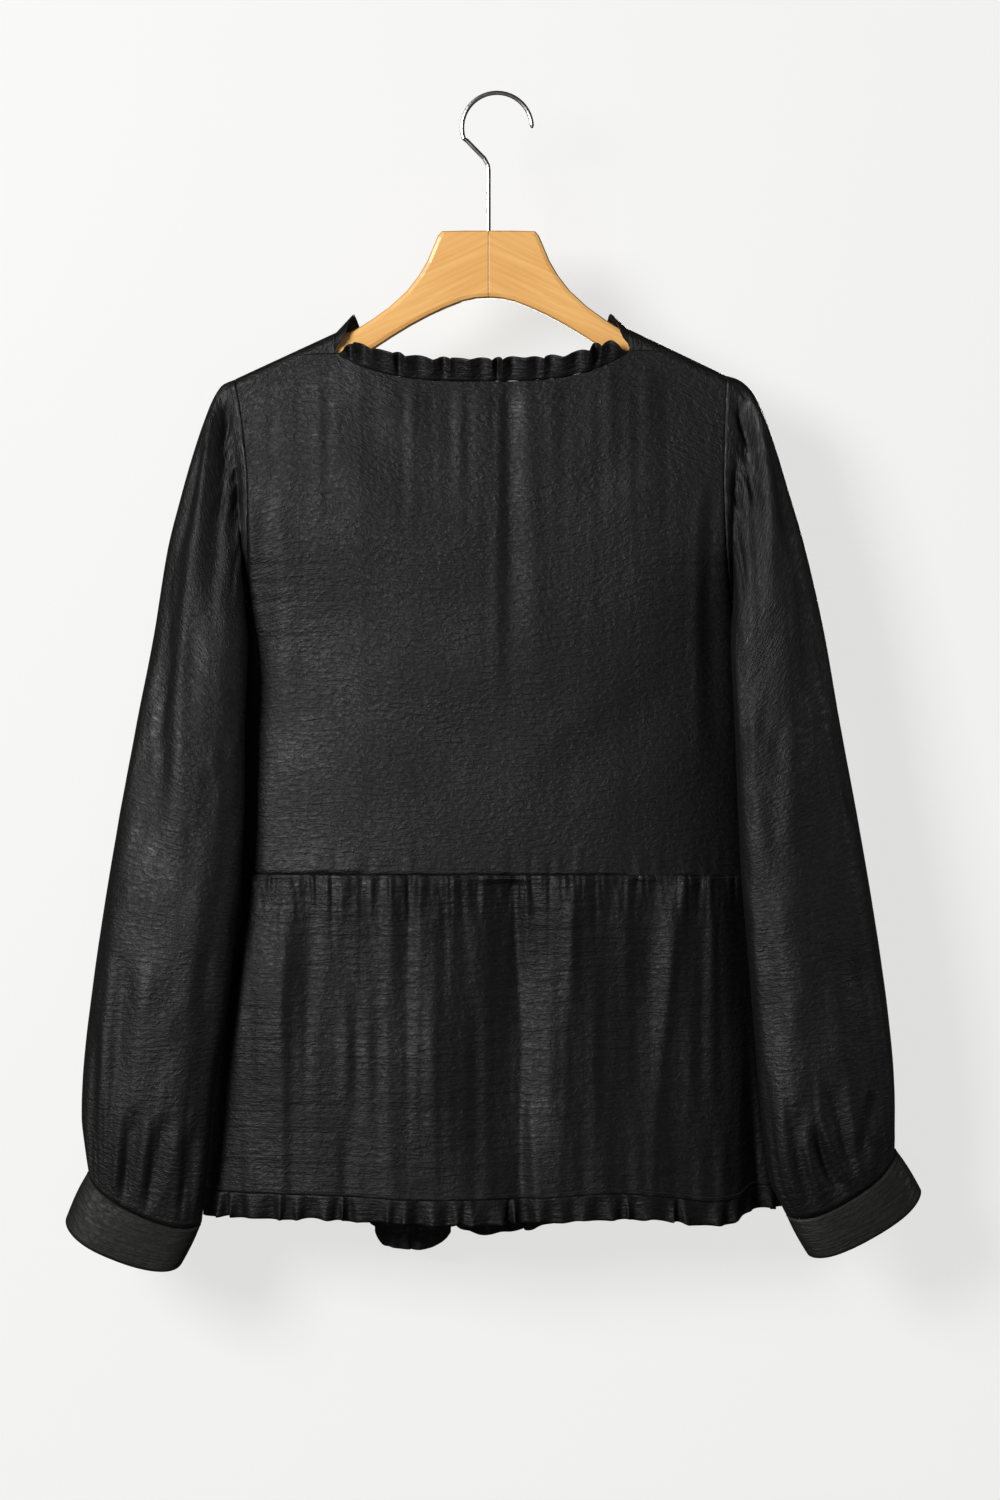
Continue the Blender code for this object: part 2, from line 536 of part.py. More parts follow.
def ruffle_points(edge, outward, width, waves, lean=0.0, rows=2, amplitude=RUFFLE_AMPLITUDE,
                  mitred=(False, False)):
    """A gathered strip that stands on an edge and runs away from its piece, along outward.
    Lean turns it out of the cloth's surface, in radians, one value or one for each column. A
    mitred end narrows to a point, where another strip takes the corner's other half."""
    shares = wave_shares(waves)
    root = resample(edge, shares)
    steps = np.linalg.norm(np.diff(edge, axis=0), axis=1)
    length = np.concatenate([[0], np.cumsum(steps)])
    outward = np.stack(
        [np.interp(shares * length[-1], length, outward[:, k]) for k in range(3)], axis=1
    )
    outward = unit(outward)
    normal = np.cross(outward, unit(np.gradient(root, axis=0)))
    slant = np.clip(np.linalg.norm(normal, axis=1, keepdims=True), 0.4, 1)
    normal = unit(normal)
    if np.mean(normal[:, 1] * np.sign(root[:, 1] + 1e-9)) < 0:
        normal = -normal
    lean = np.broadcast_to(lean, shares.shape)[:, None]
    stand = outward * np.cos(lean) + normal * np.sin(lean)
    face = normal * np.cos(lean) - outward * np.sin(lean)
    place = np.arange(len(shares))
    height = 0.75 + 0.25 * np.sin(place * 0.37 + 0.5)
    wave = (np.sin(place * math.pi / 2) * height)[:, None]
    start = 0.75 / slant + WALL / 2 * np.abs(np.sin(lean))
    reach = np.full(len(shares), float(width))
    if mitred[0]:
        reach = np.clip(shares * length[-1] - MITRE_GAP, 1.0, reach)
    if mitred[1]:
        reach = np.clip((1 - shares) * length[-1] - MITRE_GAP, 1.0, reach)
    reach = reach[:, None]
    made = []
    for share in np.linspace(0, 1, rows):
        size = RUFFLE_ROOT_AMPLITUDE + (amplitude - RUFFLE_ROOT_AMPLITUDE) * share
        made.append(root + stand * (start + reach * share) + face * wave * size * reach / width)
    return np.array(made)


def neck_ruffle_points():
    """The strip round the back neck, between the shoulder seams."""
    top = back_bodice_points()[0]
    edge = top[np.abs(top[:, 0] - NECK_CENTRE_X) < NECK_HALF_WIDTH + 0.01]
    edge[0, 0] += 0.8
    edge[-1, 0] -= 0.8
    outward = np.tile([0.0, 0.0, 1.0], (len(edge), 1))
    lean = 0.15 + 0.3 * np.abs(2 * wave_shares(NECK_WAVES) - 1) ** 8
    return ruffle_points(
        edge, outward, NECK_RUFFLE_WIDTH, NECK_WAVES, lean=lean, rows=3, mitred=(True, True)
    )


def front_ruffle_points(side):
    """The strip over one shoulder, down the V neck and the front edge to the hem."""
    bodice = front_bodice_points(side, near=20, rows=70, only=(0.97, 1.0))
    peplum = front_peplum_points(side, rows=30, only=(0.97, 1.0))
    outward = np.concatenate([bodice[:, 1] - bodice[:, 0], peplum[:, 1] - peplum[:, 0]])
    edge = np.concatenate([bodice[:, 1], peplum[:, 1]])
    edge[-1, 2] += 1.2
    edge, outward = edge[2:], outward[2:]
    drops = -resample(edge, wave_shares(FRONT_WAVES))[:, 2]
    lean = 0.08 + 0.34 * np.exp(-(((drops - 178.0) / 24.0) ** 2))
    return ruffle_points(
        edge, outward, RUFFLE_WIDTH, FRONT_WAVES, lean=lean, amplitude=3.2, mitred=(True, False)
    )


def hem_outward(edge, lifted):
    """Straight down from a hem, a little away from the body at its ends."""
    return unit(edge - lifted)


def kept_behind(points, limit, side):
    """Holds a strip's points on their own side of the side seam."""
    y = points[..., 1]
    points[..., 1] = np.minimum(y, limit) if side < 0 else np.maximum(y, limit)
    return points


def hem_ruffle_back_points():
    body = back_peplum_points(columns=300, rows=30)
    outward = hem_outward(body[-1], body[-2])
    made = ruffle_points(body[-1], outward, HEM_RUFFLE_WIDTH, HEM_BACK_WAVES, lean=0.1)
    return kept_behind(made, float(column("seam_y", HEM_DROP)) - SIDE_SETBACK, -1)


def hem_ruffle_front_points(side):
    """The strip under one front, out to the end of the front edge's own ruffle, where its
    lower corner is rounded."""
    body = front_peplum_points(side, rows=30, only=np.linspace(0, 1, 120))
    edge, outward = body[-1], hem_outward(body[-1], body[-2])
    step = np.array([-side * (RUFFLE_WIDTH + 0.5), 0.0, 0.0])
    reach = np.linspace(0.1, 1, 8)[:, None]
    edge = np.concatenate([edge, edge[-1] + reach * step])
    outward = np.concatenate([outward, np.tile(outward[-1], (8, 1))])
    made = ruffle_points(edge, outward, HEM_RUFFLE_WIDTH, HEM_FRONT_WAVES, lean=0.08)
    from_end = np.abs(made[0, :, 0] - made[0, -1, 0])
    corner = np.sqrt(1 - np.clip(1 - from_end / 16.0, 0, 1) ** 2 * 0.88)
    made[1] = made[0] + (made[1] - made[0]) * corner[:, None]
    return kept_behind(made, float(column("seam_y", HEM_DROP)) + SIDE_SETBACK, 1)


def sleeve_table(side):
    return np.array(LEFT_SLEEVE if side < 0 else RIGHT_SLEEVE)


def armhole_loop(side, angles):
    """The body's armhole at angles from the shoulder point (0) down its back to the underarm
    (a half turn) and up its front."""
    end = "left" if side < 0 else "right"
    tip = float(ridge_drop(column(end, 205.0)))
    middle, half = (tip + UNDERARM_DROP) / 2, (UNDERARM_DROP - tip) / 2
    drop = middle - half * np.cos(angles)
    x = column(end, drop)
    y = np.where(np.sin(angles) >= 0, surface_y(-1, x, drop), surface_y(1, x, drop))
    gap = ARMHOLE_GAP + ((1 - np.cos(angles)) / 2) ** 4
    return np.stack([x + side * gap, y, -drop], axis=1)


def section(row, angles, extra_drop=0.0):
    """One closed section of a sleeve or cuff from a row of its table."""
    s = dict(zip(SLEEVE_COLUMNS, row))
    outer = np.array([s["outer_x"], s["outer_y"], -s["outer_drop"]])
    inner = np.array([s["inner_x"], s["inner_y"], -s["inner_drop"]])
    middle, half = (outer + inner) / 2, (outer - inner) / 2
    power = 2 / SLEEVE_ROUNDNESS
    c, t = np.cos(angles), np.sin(angles)
    along = np.sign(c) * np.abs(c) ** power
    depth = np.sign(t) * np.abs(t) ** power
    axis = np.array([half[2], 0.0, -half[0]])
    axis = unit(axis * (1 if axis[2] < 0 else -1))
    sag = s["sag"] * np.where(t > 0, np.abs(t), FRONT_SAG_SHARE * np.abs(t))
    back = np.array([0.0, -1.0, 0.0])
    points = middle + along[:, None] * half + (depth * s["half_depth"])[:, None] * back
    return points + (sag + extra_drop)[:, None] * axis, axis


def sleeve_points(side, around=27, rings=17):
    """A sleeve from the armhole seam to the cuff seam, gathered at both."""
    angles = np.linspace(0, 2 * math.pi, around, endpoint=False)
    table = sleeve_table(side)
    loop = armhole_loop(side, angles)
    top, bottom = loop[0], armhole_loop(side, np.array([math.pi]))[0]
    chord, middle = (top - bottom) / 2, (top + bottom) / 2
    off_chord = loop - middle - np.cos(angles)[:, None] * chord
    flat = np.zeros(around)
    stations = [loop]
    for k, row in enumerate(table):
        points, _ = section(row, angles, flat)
        s = dict(zip(SLEEVE_COLUMNS, row))
        outer = np.array([s["outer_x"], s["outer_y"], -s["outer_drop"]])
        inner = np.array([s["inner_x"], s["inner_y"], -s["inner_drop"]])
        like_armhole = (outer + inner) / 2 + np.cos(angles)[:, None] * (outer - inner) / 2 + off_chord
        share = np.clip((k + 1) / (ARMHOLE_ROWS + 1), 0, 1)
        share = share * share * (3 - 2 * share)
        stations.append(like_armhole * (1 - share) + points * share)
    stations = np.array(stations)
    lengths = np.linalg.norm(np.diff(stations[:, 0], axis=0), axis=1)
    along = np.concatenate([[0], np.cumsum(lengths)]) / lengths.sum()
    wanted = np.concatenate([along[:5], np.linspace(along[5], 1, rings - 5)])
    body = np.empty((len(wanted), around, 3))
    for a in range(around):
        for k in range(3):
            body[:, a, k] = smooth_line(along, stations[:, a, k], wanted)
    return body + sleeve_relief(body, angles, wanted)


def sleeve_relief(body, angles, along):
    """Gathers at both seams and the long folds, as moves of a sleeve's points."""
    degrees = np.degrees((angles + math.pi) % (2 * math.pi) - math.pi)[None, :]
    down = along[:, None]
    centre = body.mean(axis=1, keepdims=True)
    radial = body - centre
    radial[..., 1] *= 2.2
    outward = unit(radial)
    gathers = 1.2 * np.sin(angles * 13)[None, :]
    near_ends = np.exp(-((down / 0.10) ** 2)) + np.exp(-(((1 - down) / 0.05) ** 2))
    folds = folds_at(SLEEVE_FOLDS, degrees, down)
    ends = np.clip(down / 0.06, 0, 1) * np.clip((1 - down) / 0.05, 0, 1)
    tips = np.clip(np.abs(np.sin(angles)) * 1.8, 0.15, 1)[None, :]
    move = gathers * near_ends * tips - folds * ends * tips
    move[0] = 0
    move[-1] = 0
    return outward * move[..., None]


def cuff_points(side, around=27):
    """A straight band that continues from the sleeve's last section."""
    angles = np.linspace(0, 2 * math.pi, around, endpoint=False)
    last = sleeve_table(side)[-1]
    start = np.full(around, SEAM_GAP * 2)
    top, _ = section(last, angles, start)
    change = dict(zip(CUFF_COLUMNS, LEFT_CUFF if side < 0 else RIGHT_CUFF))
    lower = last.copy()
    lower[0] += change["outer_dx"]
    lower[1] += change["outer_ddrop"]
    lower[2] += change["inner_dx"]
    lower[3] += change["inner_ddrop"]
    lower[7] = change["sag"]
    bottom, _ = section(lower, angles, np.zeros(around))
    wave = 0.8 * np.sin(angles * 4 + 0.6)
    bottom[:, 1] += wave
    return np.array([top, (top + bottom) / 2, bottom])


def hanger_half(side):
    """One half of the hanger's outline, as reach and drop, from its middle out and back."""
    reach = np.array([111.0, 128.0, 147.0, HANGER_HALF_LENGTH - 5])
    arm_top = ridge_drop(HANGER_X + side * reach) + HANGER_CLEARANCE
    under = float(ridge_drop(HANGER_X + side * 140.0)) + HANGER_CLEARANCE + ARM_HEIGHT - 3
    end = float(arm_top[-1])
    tip = [
        (HANGER_HALF_LENGTH, end + 4.5),
        (HANGER_HALF_LENGTH, end + 10.0),
        (HANGER_HALF_LENGTH - 5, end + ARM_END_HEIGHT),
    ]
    upper = [(row[0], BLOCK_TOP_DROP + row[1]) for row in HANGER_SHOULDER]
    arch = [(row[0], ARCH_DROP + row[1]) for row in HANGER_ARCH]
    line = upper + list(zip(reach, arm_top)) + tip + [(140.0, under)] + arch
    return [(side * r, float(d)) for r, d in line]


def hanger_outline():
    """The hanger's face as a closed outline of x and drop, round its own centre line."""
    return hanger_half(1) + hanger_half(-1)[-2:0:-1]


def wooden_hanger():
    """The arms and neck block in one flat piece, with a bore for the hook's shank."""
    mesh = bpy.data.meshes.new("hanger_wood")
    shape = bmesh.new()
    half = HANGER_THICKNESS / 2
    corners = [
        shape.verts.new(((HANGER_X + r) * MM, -half * MM, -d * MM)) for r, d in hanger_outline()
    ]
    face = shape.faces.new(corners)
    moved = bmesh.ops.extrude_face_region(shape, geom=[face])["geom"]
    forward = [v for v in moved if isinstance(v, bmesh.types.BMVert)]
    bmesh.ops.translate(shape, verts=forward, vec=(0, HANGER_THICKNESS * MM, 0))
    bmesh.ops.recalc_face_normals(shape, faces=shape.faces)
    shape.to_mesh(mesh)
    shape.free()
    made = new_object("hanger_wood", mesh, WOOD)
    edge = made.modifiers.new("rounded_edges", "BEVEL")
    edge.width = 3.4 * MM
    edge.segments = 2
    edge.limit_method = "ANGLE"
    edge.angle_limit = math.radians(60)
    bore = bpy.data.meshes.new("shank_bore")
    tool = bmesh.new()
    bmesh.ops.create_cone(
        tool,
        cap_ends=True,
        segments=16,
        radius1=(WIRE_RADIUS + 0.35) * MM,
        radius2=(WIRE_RADIUS + 0.35) * MM,
        depth=2 * SHANK_BORE_DEPTH * MM,
    )
    tool.to_mesh(bore)
    tool.free()
    cutter = bpy.data.objects.new("shank_bore", bore)
    bpy.context.scene.collection.objects.link(cutter)
    cutter.location = (HANGER_X * MM, 0.0, -BLOCK_TOP_DROP * MM)
    cutter.hide_render = True
    cutter.display_type = "WIRE"
    cut = made.modifiers.new("shank_bore", "BOOLEAN")
    cut.operation = "DIFFERENCE"
    cut.object = cutter
    return made


def wire_hook(sides=8):
    """The hook's wire: a shank out of the block, a bend to the side, and a round hook."""
    centre_drop = HOOK_RADIUS - WIRE_RADIUS
    turn = np.radians(np.linspace(198, 5, 26))
    ring = np.stack([HOOK_RADIUS * np.cos(turn), centre_drop - HOOK_RADIUS * np.sin(turn)], axis=1)
    bottom = BLOCK_TOP_DROP + SHANK_BORE_DEPTH - 0.4
    shank = [(HANGER_X, bottom), (HANGER_X, 76.0), (HANGER_X, SHANK_BEND_DROP + 4)]
    bend = [(HANGER_X - 0.5, SHANK_BEND_DROP), (HANGER_X - 3.2, SHANK_BEND_DROP - 5)]
    slope = [(-18.0, 39.0), (-22.6, 34.2)]
    tip = ring[-1] + [[0.15, 1.5], [0.3, 2.6]]
    line = np.array(shank + bend + slope + ring.tolist() + tip.tolist())
    radii = np.full(len(line), WIRE_RADIUS)
    radii[-2], radii[-1] = WIRE_RADIUS * 0.8, WIRE_RADIUS * 0.35
    path = np.stack([line[:, 0], np.zeros(len(line)), -line[:, 1]], axis=1)
    along = unit(np.gradient(path, axis=0))
    across = np.stack([along[:, 2], np.zeros(len(path)), -along[:, 0]], axis=1)
    angle = np.linspace(0, 2 * math.pi, sides, endpoint=False)
    spin = across[:, None] * np.cos(angle)[None, :, None] + [0, 1, 0] * np.sin(angle)[None, :, None]
    points = path[:, None] + spin * radii[:, None, None]
    faces = [
        (r * sides + c, r * sides + (c + 1) % sides, (r + 1) * sides + (c + 1) % sides, (r + 1) * sides + c)
        for r in range(len(path) - 1)
        for c in range(sides)
    ]
    faces.append(tuple(range(sides)))
    faces.append(tuple(range((len(path) - 1) * sides, len(path) * sides)))
    mesh = bpy.data.meshes.new("hanger_hook")
    mesh.from_pydata((points.reshape(-1, 3) * MM).tolist(), [], faces)
    shape = bmesh.new()
    shape.from_mesh(mesh)
    bmesh.ops.recalc_face_normals(shape, faces=shape.faces)
    shape.to_mesh(mesh)
    shape.free()
    mesh.shade_smooth()
    return new_object("hanger_hook", mesh, STEEL)


def build():
    clear_scene()
    wooden_hanger()
    wire_hook()
    cloth("bodice_back", back_bodice_points())
    cloth("peplum_back", back_peplum_points())
    cloth("ruffle_neck", neck_ruffle_points())
    cloth("ruffle_hem_back", hem_ruffle_back_points())
    for side, name in ((-1, "left"), (1, "right")):
        cloth(f"bodice_front_{name}", front_bodice_points(side))
        cloth(f"peplum_front_{name}", front_peplum_points(side))
        cloth(f"ruffle_front_{name}", front_ruffle_points(side))
        cloth(f"ruffle_hem_front_{name}", hem_ruffle_front_points(side))
        cloth(f"sleeve_{name}", sleeve_points(side), tube=True)
        cloth(f"cuff_{name}", cuff_points(side), BLACK_CUFF, tube=True)


build()
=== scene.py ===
# %% [markdown]
# # A babydoll blouse on a wooden hanger
#
# The blouse hangs on a flat wooden hanger and shows its back. It is sewn from sixteen pieces of
# black slubbed satin, so here each piece is a sheet of its own, shaped on the form of its solid.
# The solids come first: they say where every piece lies.

import math

import bmesh
import bpy
import numpy as np
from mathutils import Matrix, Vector


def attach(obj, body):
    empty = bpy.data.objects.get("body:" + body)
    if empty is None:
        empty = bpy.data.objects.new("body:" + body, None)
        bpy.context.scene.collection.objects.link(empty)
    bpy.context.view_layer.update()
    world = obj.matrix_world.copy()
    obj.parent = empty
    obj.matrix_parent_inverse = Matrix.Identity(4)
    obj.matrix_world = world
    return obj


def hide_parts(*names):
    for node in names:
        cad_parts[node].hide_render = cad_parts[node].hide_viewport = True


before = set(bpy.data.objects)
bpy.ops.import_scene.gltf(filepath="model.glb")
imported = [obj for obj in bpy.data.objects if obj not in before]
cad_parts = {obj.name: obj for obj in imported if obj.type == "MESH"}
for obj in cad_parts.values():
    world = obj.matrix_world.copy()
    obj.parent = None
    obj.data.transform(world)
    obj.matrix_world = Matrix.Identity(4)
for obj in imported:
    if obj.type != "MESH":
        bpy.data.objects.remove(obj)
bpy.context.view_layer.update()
print("solids in the frame:", len(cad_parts))

# %% [markdown]
# ## Camera
#
# The photo looks straight at the blouse's back from a few metres off. A long lens three metres
# away gives the same flat view, and one pixel of the photo is then 0.75 mm on the blouse. It
# stands at the middle of the photo, measured from the hook. The picture is upright, so the width
# of the sensor is fitted to the picture's height.

# %% Camera
MM = 0.001
PIXEL = 0.75
PHOTO_HEIGHT = 1500
SENSOR_WIDTH = 36
CAMERA_DISTANCE = 3.0
CAMERA_X = 0.00225
CAMERA_Z = -0.49125
bpy.ops.object.select_all(action="DESELECT")
bpy.ops.object.camera_add(
    location=(CAMERA_X, -CAMERA_DISTANCE, CAMERA_Z), rotation=(math.pi / 2, 0, 0)
)
camera = bpy.context.object
camera.name = "camera"
camera.data.sensor_width = SENSOR_WIDTH
camera.data.lens = SENSOR_WIDTH * CAMERA_DISTANCE / (PHOTO_HEIGHT * PIXEL * MM)
bpy.context.scene.camera = camera
print("lens:", round(camera.data.lens, 1), "mm")

# %% [markdown]
# ## Sums in a shader
#
# A finish is a graph of nodes, and a graph is easier to read as sums. The nodes could be added
# and linked one by one, but a sum then takes many lines. This small class wraps a socket, so
# that an expression such as `1 - mask * 0.5` adds its Math nodes by itself.

# %% Shader maths
def feed(tree, socket, value):
    """Links a value to a socket, or sets the socket to a plain number, place or colour."""
    if isinstance(value, Value):
        tree.links.new(value.socket, socket)
    elif isinstance(value, tuple) and socket.type == "RGBA":
        socket.default_value = (*value, 1.0)
    else:
        socket.default_value = value


class Value:
    """A number that varies over a surface, as the socket that gives it."""

    def __init__(self, tree, socket):
        self.tree = tree
        self.socket = socket

    def maths(self, operation, first, second):
        node = self.tree.nodes.new("ShaderNodeMath")
        node.operation = operation
        feed(self.tree, node.inputs[0], first)
        feed(self.tree, node.inputs[1], second)
        return Value(self.tree, node.outputs[0])

    def __add__(self, other):
        return self.maths("ADD", self, other)

    __radd__ = __add__

    def __sub__(self, other):
        return self.maths("SUBTRACT", self, other)

    def __rsub__(self, other):
        return self.maths("SUBTRACT", other, self)

    def __mul__(self, other):
        return self.maths("MULTIPLY", self, other)

    __rmul__ = __mul__

    def size(self):
        """The number without its sign."""
        return self.maths("ABSOLUTE", self, 0.0)


print("sums on values: +, -, * and size")

# %% [markdown]
# ## A finish and its nodes
#
# Each finish starts from the Principled shader, which suits cloth, wood and metal alike. One
# method adds any node from its type, its settings and its inputs. The short methods after it
# give the few nodes that every finish here needs: a colour mix, a place, noise and a range.

# %% A finish
# A Mix node has sockets for each type of value. These are the factor, the two colours and the
# mixed colour.
MIX_FACTOR, MIX_FIRST, MIX_SECOND, MIX_RESULT = 0, 6, 7, 2


class Finish:
    """A material with its Principled shader, and one way to add any other node."""

    def __init__(self, name):
        self.made = bpy.data.materials.new(name)
        self.made.use_nodes = True
        self.tree = self.made.node_tree
        self.shader = self.tree.nodes["Principled BSDF"]

    def node(self, kind, output=0, settings=(), **inputs):
        """Adds a node, its settings first, then the values or links of its sockets."""
        node = self.tree.nodes.new(kind)
        for name, value in dict(settings).items():
            setattr(node, name, value)
        for name, value in inputs.items():
            wanted = name.replace("_", " ")
            socket = next(s for s in node.inputs if s.name == wanted and s.enabled)
            feed(self.tree, socket, value)
        return Value(self.tree, node.outputs[output])

    def mix(self, share, first, second):
        """A colour between two others."""
        node = self.tree.nodes.new("ShaderNodeMix")
        node.data_type = "RGBA"
        feed(self.tree, node.inputs[MIX_FACTOR], share)
        feed(self.tree, node.inputs[MIX_FIRST], first)
        feed(self.tree, node.inputs[MIX_SECOND], second)
        return Value(self.tree, node.outputs[MIX_RESULT])

    def place(self, scale, uv=True):
        """The piece's own coordinates, in metres, scaled along each axis."""
        source = self.tree.nodes.new("ShaderNodeTexCoord")
        start = Value(self.tree, source.outputs["UV" if uv else "Object"])
        return self.node("ShaderNodeMapping", Vector=start, Scale=scale)

    def noise(self, where, scale, detail=3.0, roughness=0.55, distortion=0.0):
        return self.node(
            "ShaderNodeTexNoise",
            Vector=where,
            Scale=scale,
            Detail=detail,
            Roughness=roughness,
            Distortion=distortion,
        )

    def between(self, value, low, high):
        """0 below low, 1 above high, and even between them."""
        return self.node(
            "ShaderNodeMapRange", Value=value, From_Min=low, From_Max=high, To_Min=0.0, To_Max=1.0
        )

    def set(self, **inputs):
        """Sets or links inputs of the Principled shader."""
        for name, value in inputs.items():
            feed(self.tree, self.shader.inputs[name.replace("_", " ")], value)

    def bump(self, height, distance, strength=1.0):
        made = self.node("ShaderNodeBump", Height=height, Distance=distance, Strength=strength)
        self.tree.links.new(made.socket, self.shader.inputs["Normal"])


print("methods of a finish:", [name for name in vars(Finish) if not name.startswith("_")])

# %% [markdown]
# ## Black slubbed satin
#
# The cloth is a light satin with a crepe back. Its shine is broken up by two things: thick
# places in the cross threads, which show as fine level lines, and a crinkle all over of a few
# millimetres. A picture of cloth could give them, but noise has no seams and no repeat. Both are
# heights, so they go to a bump. They follow the cloth's own UV map, whose unit is a metre, so
# the lines turn with each piece.

# %% Satin
LEVEL_LINE_SCALE = (60.0, 420.0, 1.0)
CRINKLE_SCALE = (230.0, 330.0, 1.0)
PATCH_SCALE = (14.0, 20.0, 1.0)
LIT_COLOUR_GAIN = 2.4
LIT_POLISH = 0.14
SLUB_COAT = 0.35
SLUB_COAT_ROUGHNESS = 0.36
CLOTH_RELIEF = 0.0011


def satin(name, colour, roughness, crinkle, shine):
    """Black cloth. Crinkle is how deep its crinkles are, and shine is its specular level."""
    finish = Finish(name)
    level_lines = finish.noise(finish.place(LEVEL_LINE_SCALE), 1.0, detail=3.0, roughness=0.6)
    crinkles = finish.noise(finish.place(CRINKLE_SCALE), 1.0, detail=4.0, distortion=0.6)
    patches = finish.noise(finish.place(PATCH_SCALE), 1.0, detail=3.0)
    slub = finish.between(level_lines, 0.48, 0.72)
    lit = finish.between(crinkles * 0.6 + patches * 0.4, 0.44, 0.6)
    lit_colour = tuple(c * LIT_COLOUR_GAIN for c in colour)
    finish.set(
        Base_Color=finish.mix(slub * 0.5 + lit * 0.4, colour, lit_colour),
        Roughness=roughness + 0.1 - LIT_POLISH * lit,
        Specular_IOR_Level=shine,
        Coat_Weight=slub * lit * SLUB_COAT,
        Coat_Roughness=SLUB_COAT_ROUGHNESS,
    )
    finish.bump(level_lines * 0.7 + crinkles * crinkle, CLOTH_RELIEF)
    return finish.made


print("satin relief:", CLOTH_RELIEF / MM, "mm")

# %% [markdown]
# ## Four finishes of one cloth
#
# The outside shines softly. The gathered back of the peplum and the ruffle on its hem get a copy
# with a darker colour and less shine: painted shade, as they turn away from the window. The
# inside is the dull crepe side, and its lighter colour is painted light, which lifts the insides
# of the fronts where they show in shade below the back hem. The stiffened cuffs are a little
# greyer.
# One function makes all four, so they stay one cloth.

# %% Cloth finishes
BLACK_SATIN = satin("black_satin", (0.0028, 0.0028, 0.0027), 0.5, 0.9, 0.31)
# Painted shade: a darker, less shiny copy of the satin for the back of the peplum and its hem
# ruffle.
PAINTED_SHADE_SATIN = satin("black_satin_painted_shade", (0.0024, 0.0024, 0.0023), 0.5, 0.8, 0.25)
# Painted light: the crepe side is duller, and its lighter colour lifts the shaded insides of the
# fronts.
INSIDE_CREPE_PAINTED_LIGHT = satin("black_satin_inside_painted_light", (0.011, 0.011, 0.0106), 0.62, 0.5, 0.3)
CUFF_CLOTH = satin("black_cuff_cloth", (0.006, 0.0059, 0.0053), 0.6, 0.4, 0.25)
for cloth in (BLACK_SATIN, PAINTED_SHADE_SATIN, INSIDE_CREPE_PAINTED_LIGHT, CUFF_CLOTH):
    print("cloth finish:", cloth.name)

# %% [markdown]
# ## Sizes of the body
#
# The body is a flat tube that hangs from the hanger's arms. One table says how wide and how deep
# it is at each level, and the other values place the shoulders, the neck and the waist. All are
# in millimetres: x to the right, y away from the camera, and the drop down from the hook.

# %% Sizes of the body
HANGER_X = -6.4
RIDGE_NECK_REACH = 107.0
RIDGE_NECK_DROP = 176.0
RIDGE_INNER_REACH = 95.0
RIDGE_RADIUS = 9.0
RIDGE_QUARTER = RIDGE_RADIUS * math.pi / 2
RIDGE_TILT = 0.008
ARM_SLOPE = 0.47
NECK_HALF_WIDTH = 110.0
NECK_CENTRE_X = -11.0
SEAM_BEHIND_RIDGE = 16.6
SEAM_BEHIND_SHARE = 0.55
SHOULDER_TIP_DROP = 205.0
BACK_NECK_DROP = 216.0
BACK_NECK_RISE = 22.0
V_NECK_LENGTH = 205.0
UNDERARM_DROP = 379.0
WAIST_DROP = 584.0
HEM_DROP = 825.0
RUFFLE_WIDTH = 19.0
RUFFLE_ROOM = RUFFLE_WIDTH + 1.5
SIDE_ROUNDNESS = 2.6
BODY = {
    "drop": (205.0, 250.0, 290.0, 340.0, 379.0, 400.0, 420.0, 480.0, 584.0, 660.0, 740.0, 825.0),
    "left": (
        -197.5, -190.0, -186.0, -185.5, -187.5, -191.6, -193.5, -195.5, -198.0, -204.0, -213.0,
        -220.0,
    ),
    "right": (
        172.0, 170.0, 169.0, 171.0, 175.5, 179.6, 181.5, 185.0, 189.0, 195.0, 201.5, 210.0,
    ),
    "back_depth": (30.0, 31.0, 32.0, 33.0, 34.0, 35.0, 36.0, 38.0, 40.0, 41.0, 43.0, 45.0),
    "front_depth": (26.0, 27.0, 28.0, 29.0, 30.0, 29.0, 29.0, 28.0, 29.0, 31.0, 33.0, 35.0),
    "seam_y": (0.0, 1.5, 3.0, 5.0, 6.0, 7.0, 8.0, 10.0, 10.0, 10.0, 10.0, 9.0),
}
# A side is -1 at the left of the photo and 1 at its right. A layer is -1 at the back, 1 in front.
END = {-1: "left", 1: "right"}
print("levels in the body's table:", len(BODY["drop"]))

# %% [markdown]
# ## Smooth lines through a table
#
# Straight lines between the rows of a table would leave kinks in the cloth. A spline could
# swing past the rows, so this line takes its slopes from both neighbours and never overshoots.

# %% Smooth lines
def unit(vectors):
    return vectors / np.maximum(np.linalg.norm(vectors, axis=-1, keepdims=True), 1e-9)


def smooth_line(places, values, wanted):
    """A line through the rows of a table, with no overshoot between them."""
    places, values = np.array(places, float), np.array(values, float)
    steps = np.diff(places)
    rises = np.diff(values) / steps
    slopes = np.zeros(len(values))
    same_way = rises[:-1] * rises[1:] > 0
    inner = 2 * rises[:-1] * rises[1:] / np.where(same_way, rises[:-1] + rises[1:], 1.0)
    slopes[1:-1] = np.where(same_way, inner, 0.0)
    slopes[0], slopes[-1] = rises[0], rises[-1]
    wanted = np.clip(np.asarray(wanted, float), places[0], places[-1])
    row = np.clip(np.searchsorted(places, wanted, side="right") - 1, 0, len(steps) - 1)
    t = (wanted - places[row]) / steps[row]
    return (
        (2 * t**3 - 3 * t**2 + 1) * values[row]
        + (t**3 - 2 * t**2 + t) * steps[row] * slopes[row]
        + (3 * t**2 - 2 * t**3) * values[row + 1]
        + (t**3 - t**2) * steps[row] * slopes[row + 1]
    )


def column(name, drop):
    return smooth_line(BODY["drop"], BODY[name], drop)


